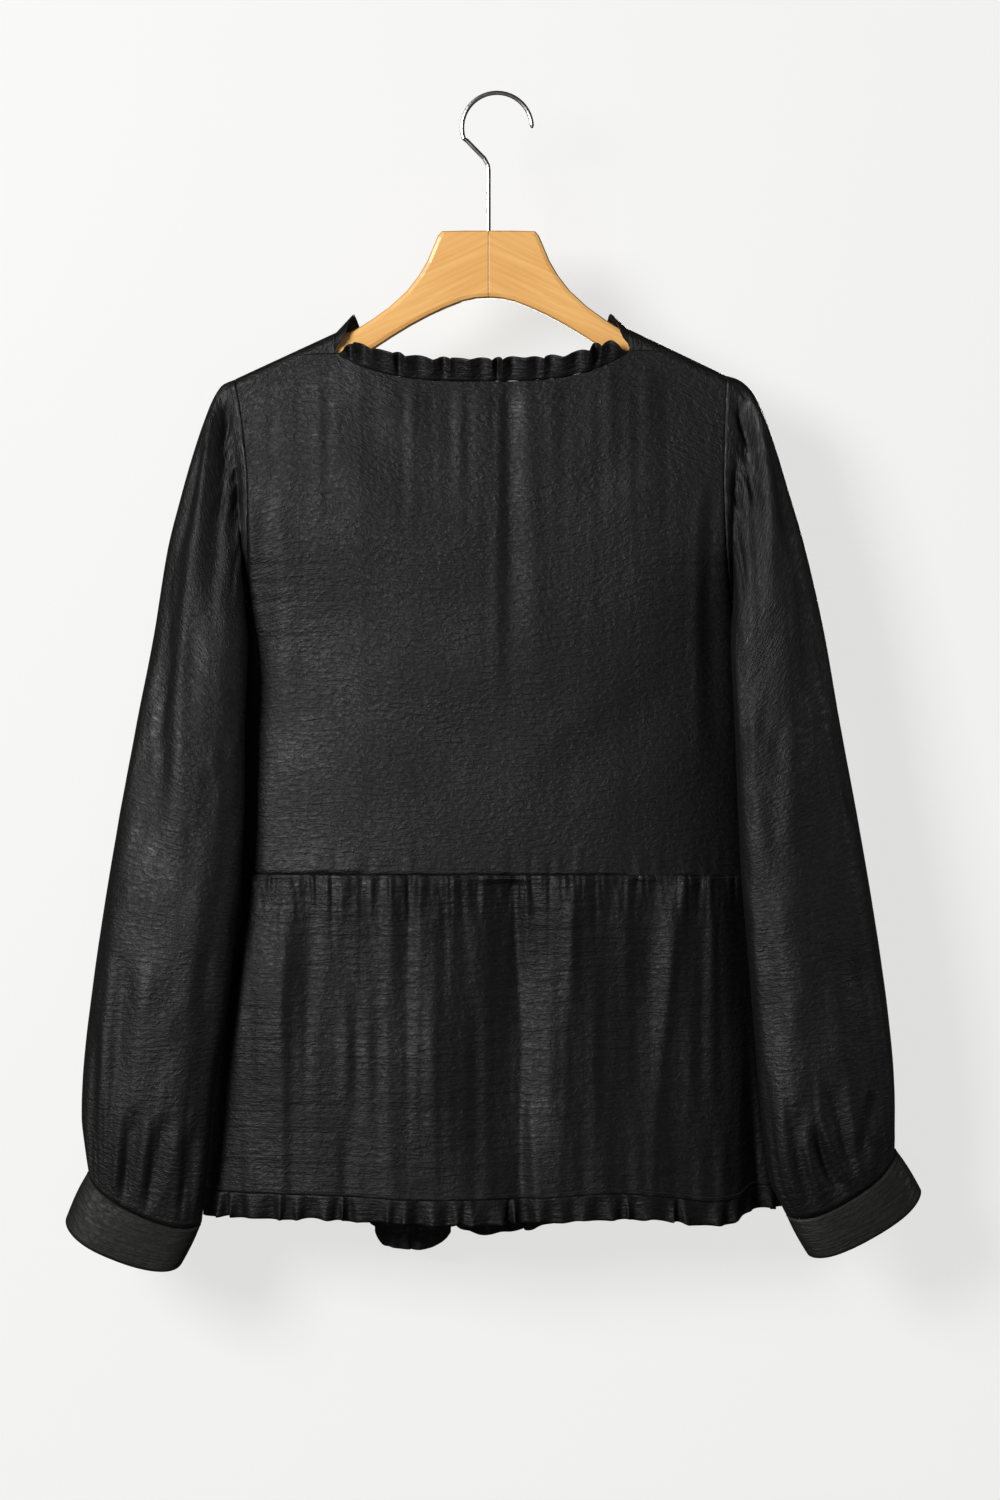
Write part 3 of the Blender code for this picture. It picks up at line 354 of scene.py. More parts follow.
waist_width = float(column("right", WAIST_DROP) - column("left", WAIST_DROP))
print("body width at the waist:", waist_width, "mm")

# %% [markdown]
# ## The top of the shoulders and the front opening
#
# The hanger's arms slope down from the neck, and the cloth bends over them in a rounded ridge.
# The front opening leans to the left on its way down. The photo shows that only at the bottom,
# where the two front hems meet in a notch.

# %% Ridge and front middle
FRONT_LEAN = 23.0


def ridge_drop(x):
    """The top of the shoulders, on the hanger's arms."""
    reach = np.maximum(np.abs(x - HANGER_X), RIDGE_INNER_REACH)
    return RIDGE_NECK_DROP + ARM_SLOPE * (reach - RIDGE_NECK_REACH) + RIDGE_TILT * x


def centre_front(drop):
    share = np.clip((drop - UNDERARM_DROP) / (HEM_DROP - UNDERARM_DROP), 0, 1.2)
    return NECK_CENTRE_X - FRONT_LEAN * share**1.3


print("the front opening at the hem:", float(centre_front(HEM_DROP)), "mm")

# %% [markdown]
# ## The back and the front of the body
#
# Both layers start at the ridge and fill out below it. They close towards each other at the
# sides, but beside the armholes they stay apart, because the sleeve opens there. A formula gives
# the same smooth form at any number of points, so the creases can be as fine as they have to be.

# %% Surface of the body
FILL_OUT_DROP = 80.0
ARMHOLE_SOFTENING = (-26.0, -13.0, 0.0, 13.0, 26.0)


def surface_y(side, x, drop):
    """How far back (side -1) or forward (side 1) the cloth lies at a place."""
    left, right = column("left", drop), column("right", drop)
    across = np.clip(np.abs(2 * x - left - right) / (right - left), 0, 1)
    below = np.maximum(drop - ridge_drop(x), 0)
    cap = RIDGE_RADIUS * np.sqrt(1 - (1 - np.clip(below / RIDGE_RADIUS, 0, 1)) ** 2)
    depth = column("back_depth" if side < 0 else "front_depth", drop)
    fuller = 1 - np.exp(-((np.maximum(below - RIDGE_RADIUS, 0) / FILL_OUT_DROP) ** 1.5))
    half = cap + (depth - RIDGE_RADIUS) * fuller
    left_tip, right_tip = column("left", SHOULDER_TIP_DROP), column("right", SHOULDER_TIP_DROP)
    shoulder = ridge_drop(np.where(x < HANGER_X, left_tip, right_tip))
    open_arm = 0.0
    for shift in ARMHOLE_SOFTENING:
        share = np.clip((drop + shift - shoulder) / (UNDERARM_DROP - shoulder), 0, 1)
        open_arm = open_arm + np.sqrt(1 - share**3) / len(ARMHOLE_SOFTENING)
    closing = np.sqrt(1 - across**SIDE_ROUNDNESS)
    return column("seam_y", drop) + side * (half * (open_arm + (1 - open_arm) * closing))


waist_layers = [float(surface_y(side, HANGER_X, WAIST_DROP)) for side in END]
print("back and front layer at the waist:", [round(y, 1) for y in waist_layers], "mm")

# %% [markdown]
# ## Paths over the shoulder
#
# Each front starts behind the hanger and runs over its arm, where a drop alone can't say which
# side a point is on. The length of the path from the ridge can, so both pieces use it.

# %% Paths over the shoulder
def over_shoulder(x, path):
    """Depth and drop at a path length from the ridge: below 0 down the back, above 0 down
    the front."""
    length = np.abs(path)
    round_drop = RIDGE_RADIUS * (1 - np.cos(np.minimum(length, RIDGE_QUARTER) / RIDGE_RADIUS))
    drop = ridge_drop(x) + round_drop + np.maximum(length - RIDGE_QUARTER, 0)
    y = np.where(path < 0, surface_y(-1, x, drop), surface_y(1, x, drop))
    return y, drop


def path_at(x, drop):
    """The path length down from the ridge that reaches this drop."""
    below = np.maximum(drop - ridge_drop(x), 0)
    angle = np.arccos(1 - np.clip(below / RIDGE_RADIUS, 0, 1))
    straight = RIDGE_QUARTER + below - RIDGE_RADIUS
    return np.where(below < RIDGE_RADIUS, RIDGE_RADIUS * angle, straight)


print("path from ridge to waist:", round(float(path_at(HANGER_X, WAIST_DROP)), 1), "mm")

# %% [markdown]
# ## The shoulder seam and the back neck
#
# The seams that join back and front lie a little behind the ridge near the neck and meet it
# about half way to the sleeve. The back neck is cut nearly straight and rises at its two ends.

# %% Shoulder seam and neck
def shoulder_seam(x):
    """How far behind the ridge the shoulder seam lies."""
    left_tip, right_tip = column("left", SHOULDER_TIP_DROP), column("right", SHOULDER_TIP_DROP)
    side = np.where(x < NECK_CENTRE_X, left_tip, right_tip)
    neck = NECK_CENTRE_X + np.sign(x - NECK_CENTRE_X) * NECK_HALF_WIDTH
    share = np.clip((x - neck) / (side - neck), 0, 1)
    return SEAM_BEHIND_RIDGE * np.clip(1 - share / SEAM_BEHIND_SHARE, 0, 1) ** 1.2


def back_neck(x):
    across = np.clip(np.abs(x - NECK_CENTRE_X) / NECK_HALF_WIDTH, 0, 1)
    return BACK_NECK_DROP - BACK_NECK_RISE * across**3.2


print("back neck at its middle:", float(back_neck(NECK_CENTRE_X)), "mm down")

# %% [markdown]
# ## Creases listed in a table
#
# Cloth folds where it is held. A cloth simulation makes folds of its own, but not those of the
# photo. So each main crease is one row of a table: the line it follows through three places, how
# deep it is, how wide it is at its two ends, and how much steeper one side is. The crease is
# pressed in as a soft trough with a low lip on both sides.

# %% Lines of the creases
CREASE_COLUMNS = (
    "x1", "drop1", "x2", "drop2", "x3", "drop3", "depth", "width1", "width3", "skew",
)
CREASE_POINTS = 13


def crease_line(c):
    """Points on the curve through the three places of a crease."""
    t = np.linspace(0, 1, CREASE_POINTS)
    bend_x = 2 * c["x2"] - (c["x1"] + c["x3"]) / 2
    bend_drop = 2 * c["drop2"] - (c["drop1"] + c["drop3"]) / 2
    line_x = (1 - t) ** 2 * c["x1"] + 2 * t * (1 - t) * bend_x + t**2 * c["x3"]
    line_drop = (1 - t) ** 2 * c["drop1"] + 2 * t * (1 - t) * bend_drop + t**2 * c["drop3"]
    return line_x, line_drop


def off_line(px, pd, line_x, line_drop):
    """How far each point lies from a line, the same with its side as a sign, and the share of
    the line where it is nearest."""
    best = np.full(px.shape, 1e9)
    signed = np.zeros(px.shape)
    along = np.zeros(px.shape)
    for k in range(len(line_x) - 1):
        ex, ed = line_x[k + 1] - line_x[k], line_drop[k + 1] - line_drop[k]
        size = math.hypot(ex, ed) + 1e-9
        share = np.clip(((px - line_x[k]) * ex + (pd - line_drop[k]) * ed) / size**2, 0, 1)
        dx, dd = px - line_x[k] - share * ex, pd - line_drop[k] - share * ed
        away = np.hypot(dx, dd)
        closer = away < best
        best = np.where(closer, away, best)
        signed = np.where(closer, np.sign(dx * ed - dd * ex) * away, signed)
        along = np.where(closer, (k + share) / (len(line_x) - 1), along)
    return best, signed, along


print("values in a crease's row:", len(CREASE_COLUMNS))

# %% Creases
CREASE_REACH = 3.2
LIP_HEIGHT = 0.32


def creases(x, drop, table):
    """How far all creases of a table press a piece in, in millimetres."""
    total = np.zeros(x.shape)
    for row in table:
        c = dict(zip(CREASE_COLUMNS, row))
        line_x, line_drop = crease_line(c)
        reach = CREASE_REACH * max(c["width1"], c["width3"])
        near = (
            (x > line_x.min() - reach)
            & (x < line_x.max() + reach)
            & (drop > line_drop.min() - reach)
            & (drop < line_drop.max() + reach)
        )
        best, signed, along = off_line(x[near], drop[near], line_x, line_drop)
        width = c["width1"] + (c["width3"] - c["width1"]) * along
        width = width * (1 + c["skew"] * np.tanh(signed / width))
        fade_in = np.sin(np.clip(along * 4, 0, 1) * math.pi / 2)
        fade_out = np.sin(np.clip((1 - along) * 2.2, 0, 1) * math.pi / 2)
        trough = np.exp(-((best / width) ** 2))
        lip = LIP_HEIGHT * np.exp(-(((best - 1.9 * width) / (0.8 * width)) ** 2))
        total[near] += c["depth"] * (fade_in * fade_out) * (trough - lip)
    return total


print("lip beside a crease:", LIP_HEIGHT, "of its depth")

# %% [markdown]
# ## Small wrinkles
#
# Between the creases the cloth is never quite smooth. A Displace modifier could move it, but
# here the noise has to fade at the seams. So it is drawn from a seed as a grid of numbers with
# smooth steps between them, which is the same in each run.

# %% Small wrinkles
def noise(u, v, cell_u, cell_v, seed):
    """Smooth noise between -1 and 1, in cells of cell_u by cell_v."""
    rng = np.random.default_rng(seed)
    u, v = u / cell_u, v / cell_v
    u, v = u - np.floor(u.min()), v - np.floor(v.min())
    grid = rng.uniform(-1, 1, (int(u.max()) + 3, int(v.max()) + 3))
    i, j = np.floor(u).astype(int), np.floor(v).astype(int)
    s, t = u - i, v - j
    s, t = s * s * (3 - 2 * s), t * t * (3 - 2 * t)
    low = grid[i, j] * (1 - s) + grid[i + 1, j] * s
    high = grid[i, j + 1] * (1 - s) + grid[i + 1, j + 1] * s
    return low * (1 - t) + high * t


sample = noise(np.arange(100.0), np.zeros(100), 7.0, 1.0, 3)
print("noise runs from", round(float(sample.min()), 2), "to", round(float(sample.max()), 2))

# %% [markdown]
# ## From a grid to a sheet of cloth
#
# Every cloth piece ends as a grid of points. The helpers below make it a mesh whose faces look
# outwards, and lay out its UV map in metres along the cloth. The grid of a sleeve or cuff closes
# on itself, so its first column comes again at the end and the two are merged.

# %% Mesh of a sheet
def normals_of(points):
    """The direction square to a grid's surface at each of its points."""
    across = np.gradient(points, axis=1)
    down = np.gradient(points, axis=0)
    return unit(np.cross(across, down))


def face_quads(points, outward):
    """Four-sided faces between the rows and columns of a grid, turned to look outward."""
    rows, columns, _ = points.shape
    index = np.arange(rows * columns).reshape(rows, columns)
    quads = np.stack([index[:-1, :-1], index[1:, :-1], index[1:, 1:], index[:-1, 1:]], axis=-1)
    quads = quads.reshape(-1, 4)
    if (normals_of(points) * outward).sum() > 0:
        quads = quads[:, ::-1]
    return quads.tolist()


def cloth_map(mesh, points):
    """A UV map whose unit is a metre of cloth."""
    across = np.linalg.norm(np.diff(points, axis=1), axis=2).mean(axis=0)
    down = np.linalg.norm(np.diff(points, axis=0), axis=2).mean(axis=1)
    u = np.concatenate([[0], np.cumsum(across)]) * MM
    v = -np.concatenate([[0], np.cumsum(down)]) * MM
    place = np.stack(np.broadcast_arrays(u[None, :], v[:, None]), axis=-1).reshape(-1, 2)
    corners = np.zeros(len(mesh.loops), int)
    mesh.loops.foreach_get("vertex_index", corners)
    uv = mesh.uv_layers.new(name="cloth")
    uv.data.foreach_set("uv", place[corners].ravel())


def merge_doubles(mesh):
    shape = bmesh.new()
    shape.from_mesh(mesh)
    bmesh.ops.remove_doubles(shape, verts=shape.verts, dist=1e-7)
    shape.to_mesh(mesh)
    shape.free()


print("a grid of 3 by 4 points gives", len(face_quads(np.ones((3, 4, 3)), (0, 1, 0))), "faces")

# %% [markdown]
# ## Thickness, body and slot
#
# A Solidify modifier gives the sheet its wall and puts the duller cloth on the inside, whose
# lighter colour is painted light. It stays live, so the sheet itself keeps one layer of points.
# Then the piece is told which body it rides and which material slot it fills.

# %% Sheets
CLOTH_THICKNESS = 0.45
sheet_points = {}


def sheet(name, points, outward, finish=BLACK_SATIN, tube=False):
    """A cloth piece through a grid of points, rows by columns, in millimetres. Outward is the
    direction in which its outer face looks, on average or at each point."""
    if tube:
        points = np.concatenate([points, points[:, :1]], axis=1)
    mesh = bpy.data.meshes.new(name)
    mesh.from_pydata((points.reshape(-1, 3) * MM).tolist(), [], face_quads(points, outward))
    cloth_map(mesh, points)
    made = bpy.data.objects.new(name, mesh)
    bpy.context.scene.collection.objects.link(made)
    if tube:
        merge_doubles(mesh)
    mesh.shade_smooth()
    mesh.materials.append(finish)
    # The inside is the dull crepe, lighter in colour as painted light.
    mesh.materials.append(INSIDE_CREPE_PAINTED_LIGHT)
    wall = made.modifiers.new("cloth_thickness", "SOLIDIFY")
    wall.material_offset = 1
    wall.thickness = CLOTH_THICKNESS * MM
    wall.offset = 0.0
    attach(made, "root")
    sheet_points[name] = points
    print(name, "points:", points.shape[0] * points.shape[1])
    return made


print("cloth thickness:", CLOTH_THICKNESS, "mm")

# %% [markdown]
# ## The back of the bodice
#
# One flat piece from the shoulder seams to the waist, over a flat hanger. It is nearly smooth:
# the centre back was pressed in half, the neck seam pulls fine upright ripples, and a soft hollow
# runs down beside each armhole. It could be sculpted with a brush, but rows of numbers put each
# crease where the photo has it and are easy to move.

# %% Creases of the back bodice
BACK_CREASES = (
    (9.0, 205.0, 10.0, 320.0, 11.0, 470.0, 1.6, 5.0, 9.0, 0.3),
    (-178.0, 300.0, -176.0, 380.0, -180.0, 520.0, 3.5, 6.0, 9.0, 0.2),
    (163.0, 290.0, 160.0, 380.0, 166.0, 520.0, 3.5, 6.0, 9.0, 0.2),
    (-120.0, 240.0, -80.0, 270.0, -40.0, 320.0, 1.2, 14.0, 20.0, 0.0),
    (60.0, 300.0, 100.0, 270.0, 135.0, 240.0, 1.2, 14.0, 20.0, 0.0),
    (-150.0, 420.0, -90.0, 470.0, -20.0, 500.0, 1.0, 16.0, 22.0, 0.2),
    (30.0, 520.0, 90.0, 480.0, 150.0, 430.0, 1.0, 16.0, 22.0, -0.2),
)
print("creases of the back bodice:", len(BACK_CREASES))

# %% Grid of the back bodice
SETTLING_ROUNDS = 4


def rows_over(first, knee, last, near, rows):
    """Path lengths from first to last for every column, closer together as far as a knee."""
    top = first + (knee - first) * np.linspace(0, 1, near + 1)[:, None]
    rest = knee + (last - knee) * np.linspace(0, 1, rows - near)[:, None]
    return np.concatenate([top, rest[1:]])


def back_bodice_form(shoulder_columns=46, neck_columns=110, rows=160, near=16):
    """The smooth grid of the back, and how far across it each column lies, from -1 to 1."""
    top_left = float(column("left", SHOULDER_TIP_DROP))
    top_right = float(column("right", SHOULDER_TIP_DROP))
    neck_left, neck_right = NECK_CENTRE_X - NECK_HALF_WIDTH, NECK_CENTRE_X + NECK_HALF_WIDTH
    shares = np.linspace(0, 1, shoulder_columns)
    left_part = top_left + (neck_left - top_left) * shares
    right_part = top_right + (neck_right - top_right) * shares
    tops = np.concatenate(
        [left_part, np.linspace(neck_left, neck_right, neck_columns)[1:-1], right_part[::-1]]
    )
    across = 2 * (tops - top_left) / (top_right - top_left) - 1
    in_neck = np.abs(tops - NECK_CENTRE_X) < NECK_HALF_WIDTH - 0.01
    top = np.where(in_neck, back_neck(tops), ridge_drop(tops) + shoulder_seam(tops))
    first = np.maximum(path_at(tops, top), 0.05)
    knee = np.maximum(first + 10.0, RIDGE_QUARTER)
    path = rows_over(first, knee, path_at(tops, WAIST_DROP), near, rows)
    x = np.broadcast_to(tops, path.shape).copy()
    for _ in range(SETTLING_ROUNDS):
        drop = over_shoulder(x, -path)[1]
        left, right = column("left", drop), column("right", drop)
        x = (left + right + across * (right - left)) / 2
        path[-1] = path_at(x[-1], WAIST_DROP)
    y, drop = over_shoulder(x, -path)
    return np.stack([x, y, -drop], axis=2), across


print("rows and columns of the back bodice:", back_bodice_form()[0].shape[:2])

# %% Wrinkles at the waist seam
TUCK_HEIGHT = 0.8
TUCKS_START = 556.0
TUCKS_FADE = 24.0
WAIST_SEAM_DROP = WAIST_DROP - 0.1


def waist_tucks(x, drop, seed):
    """Fine upright tucks that the waist seam pulls into the cloth above it."""
    near_waist = np.clip((drop - TUCKS_START) / TUCKS_FADE, 0, 1)
    return TUCK_HEIGHT * noise(x, drop, 5.0, 60.0, seed) * near_waist * (drop < WAIST_SEAM_DROP)


print("tucks above the waist start", WAIST_DROP - TUCKS_START, "mm above it")

# %% Back bodice
FINE_RIPPLE, BROAD_RIPPLE = 0.7, 0.9
RIPPLE_LENGTH = 150.0
BACK_SOFTNESS = 1.6


def back_bodice():
    points, across = back_bodice_form()
    x, drop = points[..., 0], -points[..., 2]
    share = np.clip((drop - BACK_NECK_DROP) / (WAIST_DROP - BACK_NECK_DROP), 0, 1)
    below_neck = np.clip((drop - back_neck(x)) / 12.0, 0, 1)
    ripples = FINE_RIPPLE * noise(x, drop, 7.0, 130.0, 3)
    ripples = ripples + BROAD_RIPPLE * noise(x, drop, 19.0, 190.0, 4)
    near_seam = np.clip(1 - (drop - BACK_NECK_DROP) / RIPPLE_LENGTH, 0.15, 1) * below_neck
    soft = BACK_SOFTNESS * noise(x + 0.3 * drop, drop - 0.2 * x, 62.0, 85.0, 5)
    soft = soft * np.sin(math.pi * share)
    lift = ripples * near_seam + soft + waist_tucks(x, drop, 6) - creases(x, drop, BACK_CREASES)
    at_sides = (1 - np.abs(across) ** 8)[None, :]
    below_ridge = np.clip((drop - ridge_drop(x) - 14.0) / 26.0, 0, 1)
    points[..., 1] -= lift * at_sides * below_ridge
    return sheet("back_bodice", points, (0, -1, 0))


piece = back_bodice()
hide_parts("bodice_back")

# %% [markdown]
# ## The two fronts
#
# Each front starts at the shoulder seam behind the hanger's arm, runs over the arm and narrows
# down the V neck. Below the V its inner edge leaves room for the front ruffle. One front could be
# mirrored, but the opening leans to one side, so each is worked out for its own side.

# %% Creases of the fronts
FRONT_CREASES = {
    -1: (
        (-172.0, 290.0, -168.0, 370.0, -172.0, 500.0, 3.5, 6.0, 9.0, 0.2),
        (-150.0, 250.0, -120.0, 320.0, -95.0, 420.0, 2.2, 9.0, 15.0, 0.2),
        (-150.0, 400.0, -110.0, 450.0, -60.0, 500.0, 1.6, 13.0, 18.0, 0.0),
    ),
    1: (
        (158.0, 290.0, 155.0, 370.0, 160.0, 500.0, 3.5, 6.0, 9.0, 0.2),
        (130.0, 250.0, 98.0, 320.0, 70.0, 420.0, 2.2, 9.0, 15.0, -0.2),
        (132.0, 400.0, 90.0, 450.0, 40.0, 500.0, 1.6, 13.0, 18.0, 0.0),
    ),
}
print("creases of each front:", len(FRONT_CREASES[1]))

# %% Grid of a front
def front_edge(side, path, drop):
    """The inner edge of a front, over the shoulder, down the V neck and beside the middle."""
    start = NECK_CENTRE_X + side * NECK_HALF_WIDTH
    share = np.clip(path / V_NECK_LENGTH, 0, 1) ** 1.15
    meeting = centre_front(drop) + side * RUFFLE_ROOM
    return start + (meeting - start) * share


def front_bodice_form(side, across, rows=200, near=36):
    """The smooth grid of a front, and the path length at each of its points."""
    tip = float(column(END[side], SHOULDER_TIP_DROP))
    neck = NECK_CENTRE_X + side * NECK_HALF_WIDTH
    seam_x = tip + (neck - tip) * across
    first = -path_at(seam_x, ridge_drop(seam_x) + shoulder_seam(seam_x)) + 0.1
    last = path_at(seam_x, WAIST_DROP)
    path = rows_over(first, np.full(len(across), RIDGE_RADIUS * 1.7), last, near, rows)
    x = np.broadcast_to(seam_x, path.shape).copy()
    for _ in range(SETTLING_ROUNDS + 1):
        drop = over_shoulder(x, path)[1]
        wanted = column(END[side], drop) * (1 - across) + front_edge(side, path, drop) * across
        x = np.where(path < 0, seam_x, wanted)
        path[-1] = path_at(x[-1], WAIST_DROP)
    y, drop = over_shoulder(x, path)
    return np.stack([x, y, -drop], axis=2), path


seam_ends = front_bodice_form(1, np.array([0.0, 1.0]))[0][0]
print("right shoulder seam from", seam_ends[0].round(1), "to", seam_ends[1].round(1))

# %% Front bodices
FRONT_SOFTNESS = 1.8
SMOOTH_SHOULDER = 40.0


def front_bodice(side):
    across = np.linspace(0, 1, 84)
    points, path = front_bodice_form(side, across)
    x, drop = points[..., 0], -points[..., 2]
    share = np.clip((drop - SHOULDER_TIP_DROP) / (WAIST_DROP - SHOULDER_TIP_DROP), 0, 1)
    soft = FRONT_SOFTNESS * noise(x + 0.3 * drop, drop - 0.2 * x, 55.0, 80.0, 7 + side)
    soft = soft * np.sin(math.pi * share)
    lift = soft + waist_tucks(x, drop, 9 + side) - creases(x, drop, FRONT_CREASES[side])
    at_edges = (1 - np.abs(2 * across - 1) ** 10)[None, :]
    past_shoulder = np.clip((path - SMOOTH_SHOULDER) / SMOOTH_SHOULDER, 0, 1)
    points[..., 1] += lift * (at_edges * past_shoulder)
    return sheet(f"front_bodice_{END[side]}", points, (0, 1, 0))


for side, end in END.items():
    piece = front_bodice(side)
    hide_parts(f"bodice_front_{end}")

# %% [markdown]
# ## The hem line of the peplum
#
# The lower edge isn't level. The back sags a little towards its right, and the fronts dip at the
# middle, so they show below the back. Tables of places read from the photo give the edges.

# %% Hem lines
BACK_HEM = {
    "x": (-220.0, -130.0, -48.0, 22.0, 85.0, 128.0, 160.0, 180.0, 190.0, 210.0),
    "drop": (821.0, 822.0, 825.0, 824.0, 820.5, 824.0, 828.0, 826.0, 819.0, 817.0),
}
LEFT_HEM = {
    "x": (-220.0, -150.0, -102.0, -84.0, -60.0, -11.0),
    "drop": (821.0, 822.0, 824.0, 850.0, 852.0, 850.0),
}
RIGHT_HEM = {
    "x": (-31.0, 0.0, 50.0, 100.0, 150.0, 190.0, 210.0),
    "drop": (843.0, 840.0, 833.0, 826.0, 821.0, 818.0, 817.0),
}


def peplum_hem(side, x):
    """The drop of the lower edge. The fronts dip towards the middle."""
    if side < 0:
        return smooth_line(BACK_HEM["x"], BACK_HEM["drop"], x)
    left = smooth_line(LEFT_HEM["x"], LEFT_HEM["drop"], x)
    right = smooth_line(RIGHT_HEM["x"], RIGHT_HEM["drop"], x)
    return np.where(x < centre_front(HEM_DROP), left, right)


front_shows = float(peplum_hem(1, -40) - peplum_hem(-1, -40))
print("the front hem shows below the back hem by", round(front_shows, 1), "mm")

# %% [markdown]
# ## The folds of the peplum's back
#
# A peplum is a strip much wider than the waist, drawn up on a thread. The extra cloth falls in
# broad folds, and each fold is a row of faces that turn towards the window or away from it. The
# photo shows the faces as bright and dark bands, so the table says where each one starts, at the
# waist, half way down and at the hem, and how steeply it comes forward there, in hundredths.
# Below 0 it goes back. Adding up the slopes from the left gives the depth of the cloth.

# %% Faces of the back folds
FACE_COLUMNS = ("x_waist", "x_middle", "x_hem", "rise_waist", "rise_middle", "rise_hem")
BACK_FACES = (
    (-179.0, -205.0, -210.0, 4.0, 3.0, 0.0),
    (-165.0, -180.0, -190.0, -8.0, -4.0, -4.0),
    (-147.0, -161.0, -162.0, -30.0, -36.0, -12.0),
    (-138.0, -142.0, -140.0, 22.0, 2.0, -4.0),
    (-130.0, -130.0, -128.0, -14.0, -12.0, -4.0),
    (-124.0, -120.0, -118.0, 18.0, -8.0, 2.0),
    (-116.0, -108.0, -108.0, -16.0, -2.0, 9.0),
    (-92.0, -92.0, -92.0, 14.0, 6.0, 15.0),
    (-77.0, -80.0, -77.0, -22.0, -16.0, -8.0),
    (-64.0, -66.0, -68.0, 34.0, 30.0, 0.0),
    (-57.0, -60.0, -62.0, -8.0, -2.0, -2.0),
    (-46.0, -44.0, -42.0, -10.0, -10.0, -10.0),
    (-31.0, -38.0, -34.0, -20.0, -26.0, -28.0),
    (-10.0, -10.0, -5.0, -26.0, -32.0, -34.0),
    (13.0, 16.0, 21.0, 40.0, 60.0, 60.0),
    (20.0, 24.0, 29.0, 4.0, 18.0, 12.0),
    (31.0, 32.0, 36.0, 20.0, 17.0, 10.0),
    (60.0, 52.0, 45.0, -30.0, -18.0, -14.0),
    (73.0, 73.0, 70.0, -4.0, -12.0, -14.0),
    (96.0, 96.0, 97.0, -14.0, -5.0, 3.0),
    (107.0, 107.0, 107.0, 2.0, 3.0, 4.0),
    (117.0, 114.0, 113.0, 34.0, 24.0, 4.0),
    (142.0, 126.0, 118.0, -20.0, -28.0, -26.0),
    (151.0, 133.0, 129.0, 3.0, 6.0, 5.0),
    (166.0, 172.0, 172.0, -30.0, -16.0, -8.0),
    (174.0, 180.0, 184.0, -20.0, -50.0, -60.0),
    (178.0, 188.0, 198.0, 0.0, 0.0, 0.0),
)
print("faces across the back peplum:", len(BACK_FACES))

# %% Depth of the back folds
FACE_BLUR = 19
FACE_SAMPLES = 900
FACE_WOBBLE = 2.4
FORWARD_GAIN = 1.25


def three_levels(first, middle, last, share):
    """A smooth line through a value at the waist, half way down and at the hem."""
    return (
        first * (1 - share) * (1 - 2 * share)
        + middle * 4 * share * (1 - share)
        + last * share * (2 * share - 1)
    )


def faces_across(x, down, table):
    """How far each point comes forward, added up from the left over the faces of the folds."""
    rows = [dict(zip(FACE_COLUMNS, row)) for row in table]
    order = np.arange(len(rows))
    blur = np.hanning(FACE_BLUR) / np.hanning(FACE_BLUR).sum()
    total = np.zeros(x.shape)
    for k, share in enumerate(down[:, 0] ** 0.8):
        starts = [three_levels(r["x_waist"], r["x_middle"], r["x_hem"], share) for r in rows]
        starts = np.sort(starts + FACE_WOBBLE * share * np.sin(share * 6 + order * 1.7))
        rises = [
            three_levels(r["rise_waist"], r["rise_middle"], r["rise_hem"], share) for r in rows
        ]
        rises = rises * (0.85 + 0.3 * np.sin(share * 8 + order * 2.3))
        rises = np.where(rises > 0, rises * FORWARD_GAIN, rises)
        fine = np.linspace(x[k, 0], x[k, -1], FACE_SAMPLES)
        which = np.clip(np.searchsorted(starts, fine) - 1, 0, len(rows) - 1)
        slope = np.convolve(rises[which], blur, mode="same") / 100
        height = np.concatenate([[0], np.cumsum(slope[1:] * np.diff(fine))])
        height -= height[-1] * np.linspace(0, 0.45, FACE_SAMPLES)
        total[k] = np.interp(x[k], fine, height - height.mean()) + 1.0
    return total


print("half way between waist and hem:", three_levels(0.0, 5.0, 10.0, 0.5), "of 0 to 10")

# %% [markdown]
# ## The folds of the peplum's fronts
#
# The fronts hide behind the back in the photo, so their folds are guessed from it. Upright
# creases from a table are enough for them: long ones from the waist to the hem, and short ones
# between.

# %% Creases of the peplum's fronts
LEFT_PEPLUM_CREASES = (
    (-160.0, 575.0, -168.0, 650.0, -176.0, 740.0, 7.0, 5.0, 11.0, 0.2),
    (-132.0, 575.0, -136.0, 690.0, -140.0, 900.0, 8.0, 6.0, 13.0, -0.2),
    (-110.0, 575.0, -109.0, 630.0, -108.0, 700.0, 5.0, 4.0, 8.0, 0.0),
    (-84.0, 575.0, -86.0, 690.0, -88.0, 900.0, 7.0, 5.0, 11.0, 0.3),
    (-60.0, 575.0, -63.0, 640.0, -66.0, 720.0, 5.0, 4.0, 8.0, 0.0),
)
RIGHT_PEPLUM_CREASES = (
    (158.0, 575.0, 168.0, 660.0, 178.0, 760.0, 7.0, 5.0, 11.0, 0.2),
    (134.0, 575.0, 137.0, 690.0, 140.0, 900.0, 8.0, 6.0, 13.0, -0.2),
    (106.0, 575.0, 108.0, 630.0, 110.0, 700.0, 5.0, 4.0, 8.0, 0.0),
    (82.0, 575.0, 80.0, 690.0, 78.0, 900.0, 9.0, 6.0, 14.0, 0.3),
    (54.0, 575.0, 49.0, 640.0, 44.0, 720.0, 5.0, 4.0, 8.0, 0.0),
    (32.0, 575.0, 27.0, 700.0, 22.0, 900.0, 6.0, 5.0, 10.0, 0.0),
)
print("creases of the peplum's fronts:", len(LEFT_PEPLUM_CREASES), len(RIGHT_PEPLUM_CREASES))

# %% [markdown]
# ## The gathers under the waist
#
# Just under the seam the extra cloth stands in short sharp tucks, which join into the folds
# below. Noise without its sign gives such tucks, because it has sharp valleys. It is strong at
# the waist and fades on the way down, and the side seams stay still.

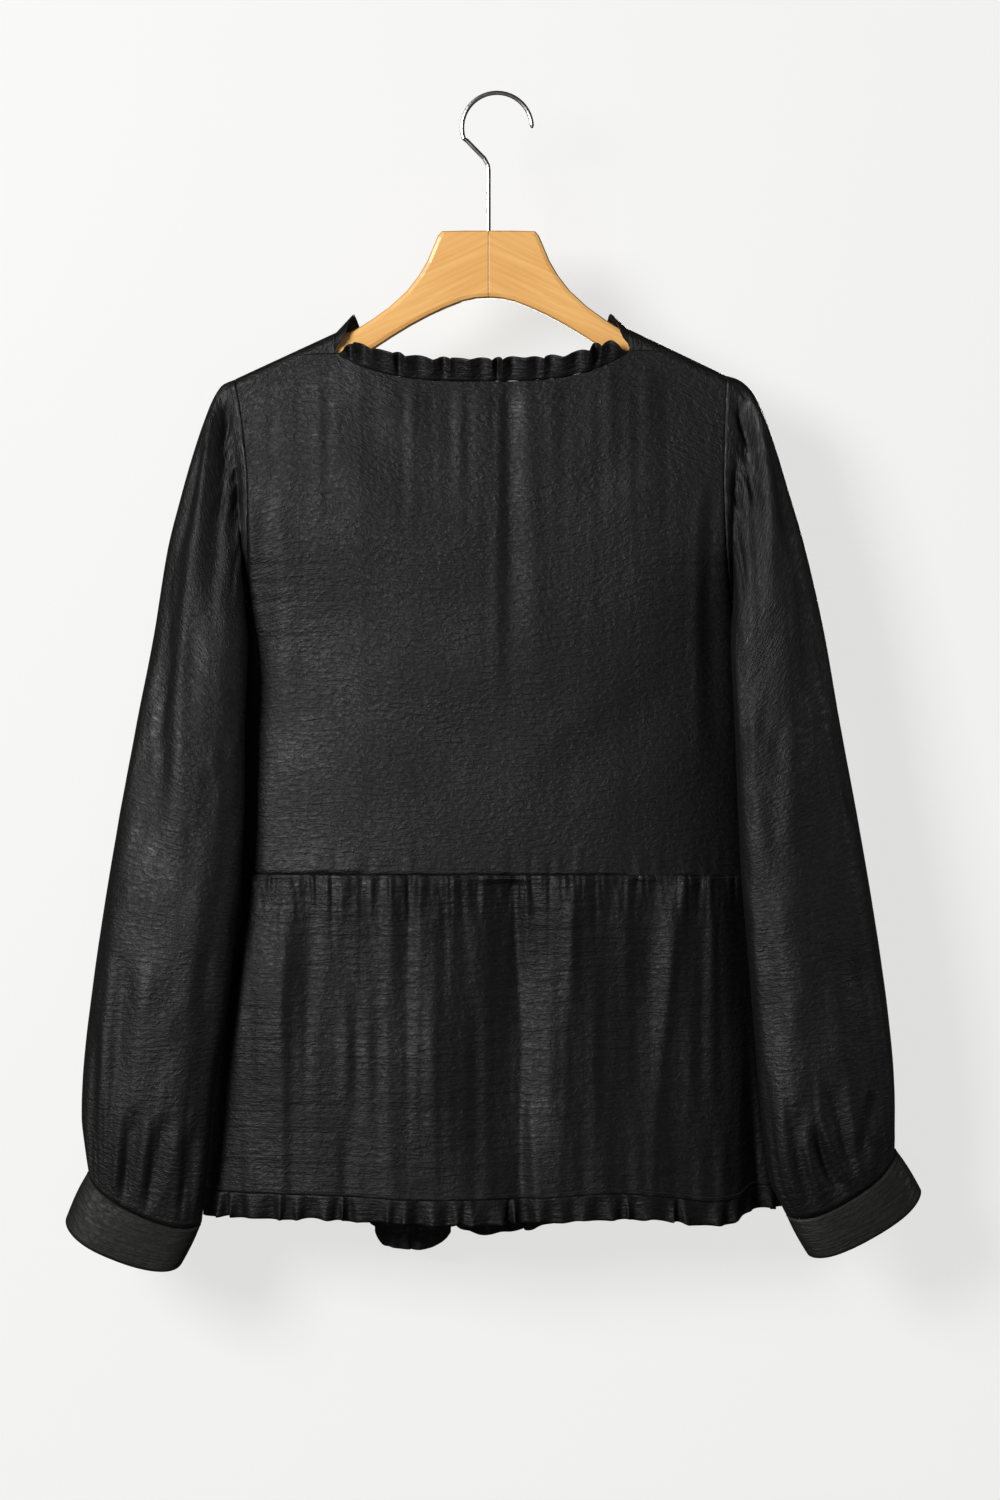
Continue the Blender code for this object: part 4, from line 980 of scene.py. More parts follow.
# %% Relief of the peplum
SHORT_TUCK, LONG_TUCK, LOW_WAVE, SMALL_WAVE = 3.8, 1.4, 1.4, 0.8
STILL_EDGE = 14.0


def peplum_relief(side, x, drop, share, table, seed):
    """Tucks at the waist and folds below, as a depth behind the smooth form."""
    near = np.clip(1 - share * 6.0, 0, 1) ** 1.2 * np.clip(share / 0.012, 0.25, 1)
    long_tucks = np.abs(noise(x, drop, 7.0, 120.0, seed)) * np.clip(1 - share * 2.2, 0, 1)
    tucks = np.abs(noise(x, drop, 3.6, 70.0, seed + 1)) * near
    low = noise(x, drop, 26.0, 170.0, seed + 3) * share
    small = noise(x, drop, 8.0, 90.0, seed + 6) * np.clip(share * 5, 0, 1)
    cross = 0.2 * noise(x, drop, 18.0, 9.0, seed + 4)
    cross = cross + 0.12 * noise(x, drop, 9.0, 4.0, seed + 5)
    left, right = column("left", drop), column("right", drop)
    edges = np.clip(np.minimum(x - left, right - x) / STILL_EDGE, 0, 1)
    depth = LOW_WAVE * low + SMALL_WAVE * small - SHORT_TUCK * tucks - LONG_TUCK * long_tucks
    depth = depth + cross * np.clip(share * 8, 0, 1)
    if side < 0:
        pinched = np.clip(share / 0.03, 0.3, 1)
        return (depth - faces_across(x, share, table) * pinched) * edges
    return (depth + creases(x, drop, table)) * edges


print("still edge beside each side seam:", STILL_EDGE, "mm")

# %% Grids of the peplum
ROW_SPREAD = 1.05


def back_peplum(columns=300, rows=150):
    turn = np.linspace(0, 1, columns)
    down = np.linspace(0, 1, rows)[:, None] ** ROW_SPREAD
    level = WAIST_DROP + (HEM_DROP - WAIST_DROP) * down
    x = column("left", level) * (1 - turn) + column("right", level) * turn
    drop = WAIST_DROP + (peplum_hem(-1, x) - WAIST_DROP) * down
    y = surface_y(-1, x, drop) + peplum_relief(-1, x, drop, down, BACK_FACES, 21)
    return np.stack([x, y, -drop], axis=2)


def front_peplum(side, across, rows=130):
    end = END[side]
    table = LEFT_PEPLUM_CREASES if side < 0 else RIGHT_PEPLUM_CREASES
    down = np.linspace(0, 1, rows)[:, None] ** ROW_SPREAD
    level = WAIST_DROP + (HEM_DROP - WAIST_DROP) * down
    inner = centre_front(level) + side * RUFFLE_ROOM
    x = column(end, level) * (1 - across) + inner * across
    drop = WAIST_DROP + (peplum_hem(1, x) - WAIST_DROP) * down
    y = surface_y(1, x, drop) - peplum_relief(1, x, drop, down, table, 33 + side)
    return np.stack([x, y, -drop], axis=2)


print("rows and columns of the back peplum:", back_peplum().shape[:2])

# %% Peplum
# The back of the peplum wears the painted-shade copy of the satin.
piece = sheet("back_peplum", back_peplum(), (0, -1, 0), PAINTED_SHADE_SATIN)
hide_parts("peplum_back")
for side, end, width in ((-1, "left", 0.24), (1, "right", 0.27)):
    grid = front_peplum(side, np.linspace(0, 1, 130))
    piece = sheet(f"front_peplum_{end}", grid, (0, 1, 0))
    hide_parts(f"peplum_front_{end}")

# %% [markdown]
# ## Lengths along a line
#
# Ruffles and stitches follow an edge, so they have to be spaced by its length. These helpers
# measure a line of points and read values at any place along it.

# %% Lengths along a line
def length_along(line):
    """How far along a line of points each of them lies."""
    steps = np.linalg.norm(np.diff(line, axis=0), axis=1)
    return np.concatenate([[0], np.cumsum(steps)])


def at_lengths(wanted, length, values):
    """The values of a line's points, read at places along its length."""
    return np.stack([np.interp(wanted, length, values[:, k]) for k in range(3)], axis=1)


def resample(points, shares):
    """Points at shares of a line's length."""
    length = length_along(points)
    return at_lengths(shares * length[-1], length, points)


two_steps = np.array([[0, 0, 0], [1, 0, 0], [4, 0, 0]])
print("half way along two steps:", resample(two_steps, np.array([0.5])))

# %% [markdown]
# ## Ruffles
#
# A ruffle is a narrow strip gathered along one edge. Its root follows the seam and its free edge
# swings from side to side. An Array modifier could repeat one wave, but a real ruffle has no two
# alike. So the waves are uneven on purpose: they drift along the edge and change in height.

# %% A ruffle
NECK_WAVES = 16
FRONT_WAVES = 27
HEM_BACK_WAVES = 28
HEM_FRONT_WAVES = 13
NECK_RUFFLE_WIDTH = 18.0
HEM_RUFFLE_WIDTH = 18.5
MITRE_GAP = 0.6
WAVE_POINTS = 14
FREE_EDGE_UNEVENNESS = 1.6


def ruffle(edge, outward, width, waves, lean, seed, amplitude=3.6, mitred=(False, False), rows=12):
    """A gathered strip that stands on an edge and runs away from its piece."""
    coarse = np.arange(4 * waves + 1)
    drift = 0.75 * np.sin(coarse * 0.61 + seed) + 0.5 * np.sin(coarse * 0.23 + 2 * seed)
    drift[0] = drift[-1] = 0.0
    place = np.linspace(0, 4 * waves, WAVE_POINTS * waves + 1)
    shares = np.clip(np.interp(place, coarse, coarse + drift) / (4 * waves), 0, 1)
    root = resample(edge, shares)
    length = length_along(edge)
    outward = unit(at_lengths(shares * length[-1], length, outward))
    along = unit(np.gradient(root, axis=0))
    normal = unit(np.cross(outward, along))
    if np.mean(normal[:, 1] * np.sign(root[:, 1] + 1e-9)) < 0:
        normal = -normal
    lean = np.broadcast_to(lean, shares.shape)[:, None]
    stand = outward * np.cos(lean) + normal * np.sin(lean)
    face = normal * np.cos(lean) - outward * np.sin(lean)
    height = 0.62 + 0.26 * np.sin(place * 0.37 + seed) + 0.2 * np.sin(place * 0.83 + 2 * seed)
    wave = np.sin(place * math.pi / 2) * height
    small = noise(place, place, 1.3, 50.0, seed)
    uneven = noise(place, place, 2.6, 50.0, seed + 1)
    reach = np.full(len(shares), float(width)) + FREE_EDGE_UNEVENNESS * uneven
    if mitred[0]:
        reach = np.clip(shares * length[-1] - MITRE_GAP, 0.8, reach)
    if mitred[1]:
        reach = np.clip((1 - shares) * length[-1] - MITRE_GAP, 0.8, reach)
    made = []
    for share in np.linspace(0, 1, rows):
        size = 0.4 + (amplitude - 0.4) * share**0.8
        swing = (wave * size + small * (0.5 + 0.6 * share)) * reach / width
        sway = np.cos(place * math.pi / 2) * 1.2 * share**2
        made.append(
            root + stand * (reach * share)[:, None] + face * swing[:, None] + along * sway[:, None]
        )
    return np.array(made)


all_waves = NECK_WAVES + 2 * FRONT_WAVES + HEM_BACK_WAVES + 2 * HEM_FRONT_WAVES
print("waves of all ruffles:", all_waves)

# %% [markdown]
# ## The ruffle round the neck
#
# This strip stands up from the back neck seam and leans outwards. At both ends it is cut at a
# slant, because the front ruffles start there.

# %% Neck ruffle
def neck_ruffle():
    top = back_bodice_form()[0][0]
    edge = top[np.abs(top[:, 0] - NECK_CENTRE_X) < NECK_HALF_WIDTH + 0.01]
    outward = np.tile([0.0, 0.0, 1.0], (len(edge), 1))
    shares = np.linspace(0, 1, WAVE_POINTS * NECK_WAVES + 1)
    lean = 0.42 + 0.1 * np.abs(2 * shares - 1) ** 8
    return ruffle(
        edge, outward, NECK_RUFFLE_WIDTH, NECK_WAVES, lean, 51, amplitude=4.4, mitred=(True, True)
    )


piece = sheet("neck_ruffle", neck_ruffle(), (0, -1, 0))
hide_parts("ruffle_neck")

# %% [markdown]
# ## The ruffle on the back hem
#
# The same helper makes this strip, with the last row of the back peplum as its root. It is kept
# behind the side seams, so that it can't pass through the strips of the fronts.

# %% Back hem ruffle
HEM_ROWS_UP = 14
SIDE_SEAM_GAP = 0.4


def kept_behind(points, limit, side):
    """Holds a strip on its own side of the side seam."""
    y = points[..., 1]
    points[..., 1] = np.minimum(y, limit) if side < 0 else np.maximum(y, limit)
    return points


def hem_ruffle_back():
    body = back_peplum()
    outward = body[-1] - body[-HEM_ROWS_UP]
    made = ruffle(body[-1], outward, HEM_RUFFLE_WIDTH, HEM_BACK_WAVES, -0.12, 61)
    return kept_behind(made, float(column("seam_y", HEM_DROP)) - SIDE_SEAM_GAP, -1)


# This ruffle wears the painted-shade copy of the satin too.
piece = sheet("hem_ruffle_back", hem_ruffle_back(), (0, -1, 0), PAINTED_SHADE_SATIN)
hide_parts("ruffle_hem_back")

# %% [markdown]
# ## The ruffles of the fronts
#
# Each front has two. One starts at the shoulder seam, runs over the shoulder and down the V neck,
# and goes on along the front edge to the hem. It leans outwards most where it crosses the
# shoulder. Its root is worked out as the front's own inner edge is, so the two can't part.
#
# The other follows the hem. At the front opening it goes on below the first one and ends in a
# rounded corner.

# %% Ruffle down a front
RIDGE_LEVEL = 178.0
RIDGE_SPREAD = 24.0


def front_ruffle(side):
    pair = np.array([0.97, 1.0])
    bodice = front_bodice_form(side, pair, rows=160, near=40)[0]
    peplum = front_peplum(side, pair, rows=60)
    outward = np.concatenate([bodice[:, 1] - bodice[:, 0], peplum[1:, 1] - peplum[1:, 0]])
    outward[:, 1] *= 0.3
    edge = np.concatenate([bodice[:, 1], peplum[1:, 1]])
    edge, outward = edge[3:], outward[3:]
    shares = np.linspace(0, 1, WAVE_POINTS * FRONT_WAVES + 1)
    drops = -resample(edge, shares)[:, 2]
    lean = 0.08 + 0.34 * np.exp(-(((drops - RIDGE_LEVEL) / RIDGE_SPREAD) ** 2))
    return ruffle(
        edge,
        outward,
        RUFFLE_WIDTH,
        FRONT_WAVES,
        lean,
        55 + side,
        amplitude=3.2,
        mitred=(True, False),
    )


print("rows and points of a front ruffle:", front_ruffle(1).shape[:2])

# %% Ruffles of the fronts
CORNER_LENGTH = 16.0


def hem_ruffle_front(side):
    body = front_peplum(side, np.linspace(0, 1, 130))
    edge, outward = body[-1], body[-1] - body[-HEM_ROWS_UP]
    step = np.array([-side * (RUFFLE_WIDTH + 0.5), 0.0, 0.0])
    reach = np.linspace(0.1, 1, 8)[:, None]
    edge = np.concatenate([edge, edge[-1] + reach * step])
    outward = np.concatenate([outward, np.tile(outward[-1], (8, 1))])
    made = ruffle(edge, outward, HEM_RUFFLE_WIDTH, HEM_FRONT_WAVES, 0.08, 65 + side)
    from_end = np.abs(made[0, :, 0] - made[0, -1, 0])
    corner = np.sqrt(1 - np.clip(1 - from_end / CORNER_LENGTH, 0, 1) ** 2 * 0.88)[None, :, None]
    made = made[:1] + (made - made[:1]) * corner
    return kept_behind(made, float(column("seam_y", HEM_DROP)) + SIDE_SEAM_GAP, 1)


for side, end in END.items():
    piece = sheet(f"front_ruffle_{end}", front_ruffle(side), (0, 1, 0))
    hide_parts(f"ruffle_front_{end}")
    piece = sheet(f"hem_ruffle_front_{end}", hem_ruffle_front(side), (0, 1, 0))
    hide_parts(f"ruffle_hem_front_{end}")

# %% [markdown]
# ## The form of a sleeve
#
# A sleeve is a tube from the armhole to the cuff, gathered at both ends. It could be a curve with
# a bevel, but its sections change from a tall slit at the armhole to a puff and a narrow wrist.
# So a table gives the two ends of each section, how deep the tube is there and how far it sags.

# %% Sleeve tables
SLEEVE_COLUMNS = (
    "outer_x", "outer_drop", "inner_x", "inner_drop", "inner_y", "outer_y", "half_depth", "sag",
)
LEFT_SLEEVE = (
    (-205.0, 217.5, -190.9, 381.0, 3.5, 0.0, 27.0, 0.0),
    (-212.0, 227.0, -188.5, 386.0, -0.5, 0.0, 27.0, 0.0),
    (-219.0, 244.0, -187.5, 393.0, -5.5, -1.0, 27.0, 0.0),
    (-227.0, 268.0, -186.5, 403.0, -11.0, -2.0, 26.5, 0.0),
    (-236.0, 300.0, -186.0, 417.0, -16.5, -3.0, 26.0, 0.0),
    (-246.5, 342.0, -186.5, 440.0, -20.5, -4.0, 26.0, 0.0),
    (-256.0, 402.0, -188.0, 478.0, -21.0, -5.0, 26.0, 0.0),
    (-270.0, 474.0, -188.0, 521.0, -21.0, -5.0, 27.0, 0.0),
    (-283.5, 548.0, -190.5, 577.0, -21.0, -5.0, 28.0, 0.0),
    (-295.0, 617.0, -195.5, 630.0, -21.0, -5.0, 30.0, 0.0),
    (-304.0, 681.0, -200.5, 682.0, -18.0, -5.0, 31.0, 0.0),
    (-309.8, 737.0, -210.0, 738.0, -19.0, -5.0, 30.0, 3.0),
    (-310.5, 764.0, -214.0, 778.0, -19.0, -5.0, 27.0, 7.0),
    (-308.0, 786.0, -217.0, 812.0, -17.0, -5.0, 22.0, 11.0),
    (-304.5, 804.0, -220.5, 843.0, -14.0, -5.0, 17.0, 14.0),
)
RIGHT_SLEEVE = (
    (180.5, 213.5, 178.9, 381.0, 3.5, 0.0, 27.0, 0.0),
    (190.5, 222.0, 177.0, 386.0, -0.5, 0.0, 27.0, 0.0),
    (199.0, 238.0, 176.0, 393.0, -5.5, -1.0, 27.0, 0.0),
    (207.5, 262.0, 175.3, 403.0, -11.0, -2.0, 26.5, 0.0),
    (216.5, 292.0, 174.8, 417.0, -16.5, -3.0, 26.0, 0.0),
    (229.5, 337.0, 175.6, 440.0, -20.5, -4.0, 26.0, 0.0),
    (244.5, 403.0, 177.4, 478.0, -21.0, -5.0, 26.0, 0.0),
    (257.0, 475.0, 179.0, 521.0, -21.0, -5.0, 27.0, 0.0),
    (270.5, 548.0, 181.6, 577.0, -21.0, -5.0, 28.0, 0.0),
    (282.0, 616.0, 185.8, 630.0, -21.0, -5.0, 30.0, 0.0),
    (291.0, 678.0, 191.0, 690.0, -18.0, -5.0, 31.0, 0.0),
    (296.4, 732.0, 195.5, 745.0, -19.0, -5.0, 30.0, 3.0),
    (297.0, 754.0, 199.0, 781.0, -19.0, -5.0, 27.0, 7.0),
    (296.5, 771.0, 203.5, 811.0, -17.0, -5.0, 22.0, 11.0),
    (296.0, 787.5, 215.0, 836.0, -14.0, -5.0, 17.0, 16.0),
)
print("sections of each sleeve:", len(LEFT_SLEEVE), len(RIGHT_SLEEVE))

# %% Sections of a sleeve
SLEEVE_ROUNDNESS = 2.4
FRONT_SAG_SHARE = 0.45


def sleeve_table(side):
    return np.array(LEFT_SLEEVE if side < 0 else RIGHT_SLEEVE)


def section_ends(row):
    """A section's values by name, and its outer and inner end as places."""
    s = dict(zip(SLEEVE_COLUMNS, row))
    outer = np.array([s["outer_x"], s["outer_y"], -s["outer_drop"]])
    inner = np.array([s["inner_x"], s["inner_y"], -s["inner_drop"]])
    return s, outer, inner


def section(row, angles, extra_drop=0.0):
    """One closed section of a sleeve or cuff."""
    s, outer, inner = section_ends(row)
    middle, half = (outer + inner) / 2, (outer - inner) / 2
    power = 2 / SLEEVE_ROUNDNESS
    c, t = np.cos(angles), np.sin(angles)
    along = np.sign(c) * np.abs(c) ** power
    depth = np.sign(t) * np.abs(t) ** power
    axis = np.array([half[2], 0.0, -half[0]])
    axis = unit(axis * (1 if axis[2] < 0 else -1))
    sag = s["sag"] * np.where(t > 0, np.abs(t), FRONT_SAG_SHARE * np.abs(t))
    points = middle + along[:, None] * half
    points = points + (depth * s["half_depth"])[:, None] * np.array([0.0, -1.0, 0.0])
    return points + (sag + extra_drop)[:, None] * axis


first_row = section(LEFT_SLEEVE[0], np.linspace(0, math.pi, 3))
print("three points of the first section:", first_row.round(1).tolist())

# %% [markdown]
# ## From the armhole to the cuff
#
# The sleeve has to start exactly at the armhole, whose edge is curved like the body there. So
# the first sections keep the armhole's shape and blend step by step into the table's own.

# %% Smooth tube of a sleeve
ARMHOLE_ROWS = 5
ARMHOLE_GAP = 0.4
MIDDLE_SECTION = 8


def armhole_loop(side, angles):
    """The edge of the armhole, a hair outside the body."""
    end = END[side]
    tip = float(ridge_drop(column(end, SHOULDER_TIP_DROP)))
    middle, half = (tip + UNDERARM_DROP) / 2, (UNDERARM_DROP - tip) / 2
    drop = middle - half * np.cos(angles)
    x = column(end, drop)
    y = np.where(np.sin(angles) >= 0, surface_y(-1, x, drop), surface_y(1, x, drop))
    return np.stack([x + side * ARMHOLE_GAP, y, -drop], axis=1)


def sleeve_form(side, angles, rings):
    """The smooth tube as a grid, and how far down it each ring lies."""
    loop = armhole_loop(side, angles)
    top, bottom = loop[0], armhole_loop(side, np.array([math.pi]))[0]
    chord, middle = (top - bottom) / 2, (top + bottom) / 2
    off_chord = loop - middle - np.cos(angles)[:, None] * chord
    stations = [loop]
    for k, row in enumerate(sleeve_table(side)):
        points = section(row, angles, np.zeros(len(angles)))
        outer, inner = section_ends(row)[1:]
        like_armhole = (outer + inner) / 2 + np.cos(angles)[:, None] * (outer - inner) / 2
        share = np.clip((k + 1) / (ARMHOLE_ROWS + 1), 0, 1)
        share = share * share * (3 - 2 * share)
        stations.append((like_armhole + off_chord) * (1 - share) + points * share)
    stations = np.array(stations)
    lengths = np.linalg.norm(np.diff(stations[:, 0], axis=0), axis=1)
    along = np.concatenate([[0], np.cumsum(lengths)]) / lengths.sum()
    wanted = np.linspace(0, 1, rings)
    body = np.empty((rings, len(angles), 3))
    for a in range(len(angles)):
        for k in range(3):
            body[:, a, k] = smooth_line(along, stations[:, a, k], wanted)
    return body, wanted[:, None]


def even_angles(side, around):
    """Angles that space a sleeve's columns evenly along its middle section."""
    fine = np.linspace(0, 2 * math.pi, 2001)
    length = length_along(section(sleeve_table(side)[MIDDLE_SECTION], fine))
    return np.interp(np.linspace(0, length[-1], around, endpoint=False), length, fine)


print("left armhole starts at", armhole_loop(-1, np.array([0.0])).round(1).tolist())

# %% [markdown]
# ## The folds of the sleeves
#
# The long folds of the layer at the back follow the photo. The hidden layer in front has the
# same ones, a little higher and weaker. Short tucks stand under the armhole seam and above the
# cuff, where the cloth is gathered.

# %% Creases of the sleeves
SLEEVE_CREASES = {
    -1: (
        (-200.0, 214.0, -207.0, 228.0, -216.0, 247.0, 5.0, 3.0, 5.0, 0.2),
        (-194.0, 222.0, -203.0, 236.0, -214.0, 258.0, 5.0, 2.6, 4.5, 0.1),
        (-193.0, 270.0, -194.0, 330.0, -196.0, 400.0, 5.0, 4.0, 5.0, 0.0),
        (-199.0, 232.0, -206.0, 250.0, -211.0, 275.0, 3.5, 3.0, 5.0, 0.0),
        (-200.0, 226.0, -206.0, 300.0, -207.0, 400.0, 9.5, 6.0, 12.0, 0.2),
        (-222.0, 255.0, -228.0, 300.0, -237.0, 345.0, 5.0, 4.0, 8.0, 0.0),
        (-234.0, 300.0, -250.0, 430.0, -258.0, 600.0, 5.5, 8.0, 16.0, -0.3),
        (-277.0, 640.0, -281.0, 710.0, -289.0, 800.0, 3.0, 7.0, 8.0, 0.3),
        (-300.0, 690.0, -300.0, 750.0, -299.0, 800.0, 2.0, 5.0, 6.0, 0.0),
        (-268.0, 755.0, -274.0, 795.0, -280.0, 828.0, 3.5, 6.0, 4.0, 0.2),
        (-246.0, 762.0, -252.0, 800.0, -258.0, 834.0, 3.5, 6.0, 4.0, 0.0),
        (-226.0, 770.0, -230.0, 810.0, -238.0, 842.0, 3.0, 6.0, 4.0, 0.0),
    ),
    1: (
        (180.0, 216.0, 186.0, 226.0, 190.0, 236.0, 5.0, 3.0, 4.0, 0.0),
        (176.0, 224.0, 184.0, 238.0, 192.0, 262.0, 5.0, 2.6, 4.5, -0.1),
        (178.5, 270.0, 179.0, 330.0, 181.0, 400.0, 5.0, 4.0, 5.0, 0.0),
        (181.0, 228.0, 190.0, 280.0, 189.0, 390.0, 8.5, 5.0, 10.0, -0.2),
        (204.0, 250.0, 213.0, 300.0, 221.0, 350.0, 4.5, 4.0, 7.0, 0.0),
        (222.0, 330.0, 238.0, 450.0, 240.0, 600.0, 4.0, 10.0, 18.0, 0.3),
        (268.0, 640.0, 278.0, 710.0, 288.0, 780.0, 4.0, 7.0, 9.0, -0.4),
        (234.0, 770.0, 244.0, 800.0, 258.0, 826.0, 5.0, 5.0, 5.0, 0.0),
        (246.0, 740.0, 256.0, 780.0, 264.0, 810.0, 3.0, 6.0, 4.0, 0.0),
        (222.0, 750.0, 226.0, 800.0, 238.0, 834.0, 3.5, 6.0, 4.0, 0.0),
        (280.0, 745.0, 276.0, 765.0, 270.0, 800.0, 3.0, 4.0, 5.0, 0.0),
    ),
}
print("creases of the sleeves:", len(SLEEVE_CREASES[-1]), len(SLEEVE_CREASES[1]))

# %% Relief of a sleeve
SLEEVE_LENGTH = 600.0
HEAD_SHARE, FOOT_SHARE = 0.11, 0.09
SLEEVE_TUCK, SLEEVE_SOFTNESS, SLEEVE_CROSS = 1.7, 1.7, 0.8
FRONT_FOLD_SHIFT = 14.0
FRONT_FOLD_SHARE = 0.8


def sleeve_relief(side, angles, down, x, drop):
    """How far each point of a sleeve moves out of the smooth tube."""
    degrees = np.degrees((angles + math.pi) % (2 * math.pi) - math.pi)[None, :]
    degrees = np.broadcast_to(degrees, x.shape)
    length = np.broadcast_to(down * SLEEVE_LENGTH, x.shape)
    top = np.exp(-((down / HEAD_SHARE) ** 2))
    foot = np.exp(-(((1 - down) / FOOT_SHARE) ** 2))
    tucks = noise(degrees, length, 4.6, 60.0, 81 + side)
    tucks = tucks + 0.7 * noise(degrees, length, 9.0, 90.0, 84 + side)
    soft = noise(degrees, length, 22.0, 150.0, 87 + side)
    cross = noise(degrees, length, 14.0, 26.0, 91 + side)
    at_back = np.clip(np.sin(angles) * 3, 0, 1)[None, :]
    at_front = np.clip(-np.sin(angles) * 3, 0, 1)[None, :]
    in_front = creases(x, drop + FRONT_FOLD_SHIFT, SLEEVE_CREASES[side])
    pressed = creases(x, drop, SLEEVE_CREASES[side]) * at_back
    pressed = pressed + FRONT_FOLD_SHARE * in_front * at_front
    away = 1 - top
    move = SLEEVE_TUCK * tucks * (top + 0.9 * foot) + SLEEVE_SOFTNESS * soft * away
    move = move + SLEEVE_CROSS * cross * away - pressed
    ends = np.clip(down / 0.02, 0, 1) * np.clip((1 - down) / 0.015, 0, 1)
    tips = np.clip(np.abs(np.sin(angles)) * 1.8, 0.12, 1)[None, :]
    return move * ends * tips


print("tucks at the head of a sleeve:", SLEEVE_TUCK, "mm deep")

# %% Sleeves
DEPTH_WEIGHT = 2.2


def outward_of(points):
    """Directions away from the middle of each ring of a tube."""
    radial = points - points.mean(axis=1, keepdims=True)
    return np.concatenate([radial, radial[:, :1]], axis=1)


def sleeve(side, around=150, rings=250):
    angles = even_angles(side, around)
    points, down = sleeve_form(side, angles, rings)
    radial = points - points.mean(axis=1, keepdims=True)
    radial[..., 1] *= DEPTH_WEIGHT
    move = sleeve_relief(side, angles, down, points[..., 0], -points[..., 2])
    points = points + unit(radial) * move[..., None]
    name = f"sleeve_{END[side]}"
    made = sheet(f"{name}_cloth", points, outward_of(points), tube=True)
    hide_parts(name)


for side in END:
    sleeve(side)

# %% [markdown]
# ## Cuffs
#
# A cuff is a plain doubled band. It has stiff cloth inside, so it stays flat and looks a little
# greyer than the sleeve. Its upper edge is the sleeve's last section, and its lower edge is that
# section moved down and outwards, so the two pieces meet all round.

# %% Cuffs
CUFF_SHIFTS = {
    -1: {"outer_x": -17.5, "outer_drop": 37.0, "inner_x": -14.6, "inner_drop": 30.4},
    1: {"outer_x": 20.7, "outer_drop": 32.0, "inner_x": 17.0, "inner_drop": 31.0},
}
CUFF_SAG = {-1: 15.0, 1: 12.0}
CUFF_GAP = 0.3
CUFF_HEIGHT = 35
CUFF_BULGE = 0.9
CUFF_UNEVENNESS = 0.4


def cuff(side, around=150, rows=16):
    angles = even_angles(side, around)
    last = sleeve_table(side)[-1]
    top = section(last, angles, np.full(around, CUFF_GAP))
    lower = last.copy()
    for value, shift in CUFF_SHIFTS[side].items():
        lower[SLEEVE_COLUMNS.index(value)] += shift
    lower[SLEEVE_COLUMNS.index("sag")] = CUFF_SAG[side]
    bottom = section(lower, angles)
    bottom[:, 1] += 0.8 * np.sin(angles * 4 + 0.6)
    share = np.linspace(0, 1, rows)[:, None, None]
    points = top * (1 - share) + bottom * share
    radial = points - points.mean(axis=1, keepdims=True)
    degrees = np.broadcast_to(np.degrees(angles), (rows, around))
    level = np.broadcast_to(share[..., 0] * CUFF_HEIGHT, (rows, around))
    uneven = noise(degrees, level, 30.0, 18.0, 95 + side)[..., None]
    bulge = CUFF_BULGE * np.sin(math.pi * share) + CUFF_UNEVENNESS * uneven
    points = points + unit(radial) * bulge
    name = f"cuff_{END[side]}"
    made = sheet(f"{name}_band", points, outward_of(points), CUFF_CLOTH, True)
    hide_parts(name)


for side in END:
    cuff(side)

# %% [markdown]
# ## Stitches
#
# The ruffles and the gathers are held down by a row of machine stitches beside each seam. They
# could be drawn into the material, but a stitch is a short piece of thread that lies on the
# cloth and catches light. So each row is one mesh of small four-sided rods, placed along a row
# of its sheet's own points.

# %% Rows of stitches
STITCH_PITCH = 3.1
STITCH_LENGTH = 2.5
THREAD_RADIUS = 0.27
THREAD = satin("black_thread", (0.02, 0.02, 0.019), 0.4, 0.0, 0.5)
ROD_CORNERS = ((-1, 0), (0, 1), (1, 0), (0, -1))


def stitch_rods(line, outward):
    """The corners of the rods of one row, eight to a stitch."""
    length = length_along(line)
    starts = np.arange(1.0, length[-1] - STITCH_PITCH, STITCH_PITCH)
    ends = [at_lengths(place, length, line) for place in (starts, starts + STITCH_LENGTH)]
    up = unit(at_lengths(starts, length, outward))
    along = unit(ends[1] - ends[0])
    across = unit(np.cross(along, up))
    lift = up * (CLOTH_THICKNESS / 2 + 0.1)
    corners = []
    for end in ends:
        for a, b in ROD_CORNERS:
            corners.append(end + lift + THREAD_RADIUS * (a * across + b * up))
    return np.stack(corners, axis=1)


def stitch_row(name, line, outward):
    """One row of stitches along a line of points, on the side of the cloth that faces out."""
    rods = stitch_rods(line, outward)
    faces = []
    for n in range(0, 8 * len(rods), 8):
        faces += [(n + q, n + (q + 1) % 4, n + 4 + (q + 1) % 4, n + 4 + q) for q in range(4)]
        faces += [(n + 3, n + 2, n + 1, n), (n + 4, n + 5, n + 6, n + 7)]
    mesh = bpy.data.meshes.new(name)
    mesh.from_pydata((rods.reshape(-1, 3) * MM).tolist(), [], faces)
    mesh.materials.append(THREAD)
    made = bpy.data.objects.new(name, mesh)
    bpy.context.scene.collection.objects.link(made)
    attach(made, "root")
    print(name, "stitches:", len(rods))


print("stitches to 100 mm:", round(100 / STITCH_PITCH, 1))

# %% Stitches
def seam_row(piece_name, row):
    """A row of a sheet's points with the direction that its outer face looks in there."""
    points = sheet_points[piece_name]
    normals = normals_of(points)
    middle = points.mean(axis=(0, 1))
    if (normals * (points - middle) * np.array([0.2, 1.0, 0.2])).sum() < 0:
        normals = -normals
    return points[row], normals[row]


for piece_name, row in (
    ("back_peplum", 2),
    ("back_peplum", -3),
    ("front_peplum_left", 2),
    ("front_peplum_left", -3),
    ("front_peplum_right", 2),
    ("front_peplum_right", -3),
    ("cuff_left_band", 1),
    ("cuff_right_band", 1),
):
    line, outward = seam_row(piece_name, row)
    where = "top" if row > 0 else "hem"
    stitch_row(f"stitches_{piece_name}_{where}", line, outward)

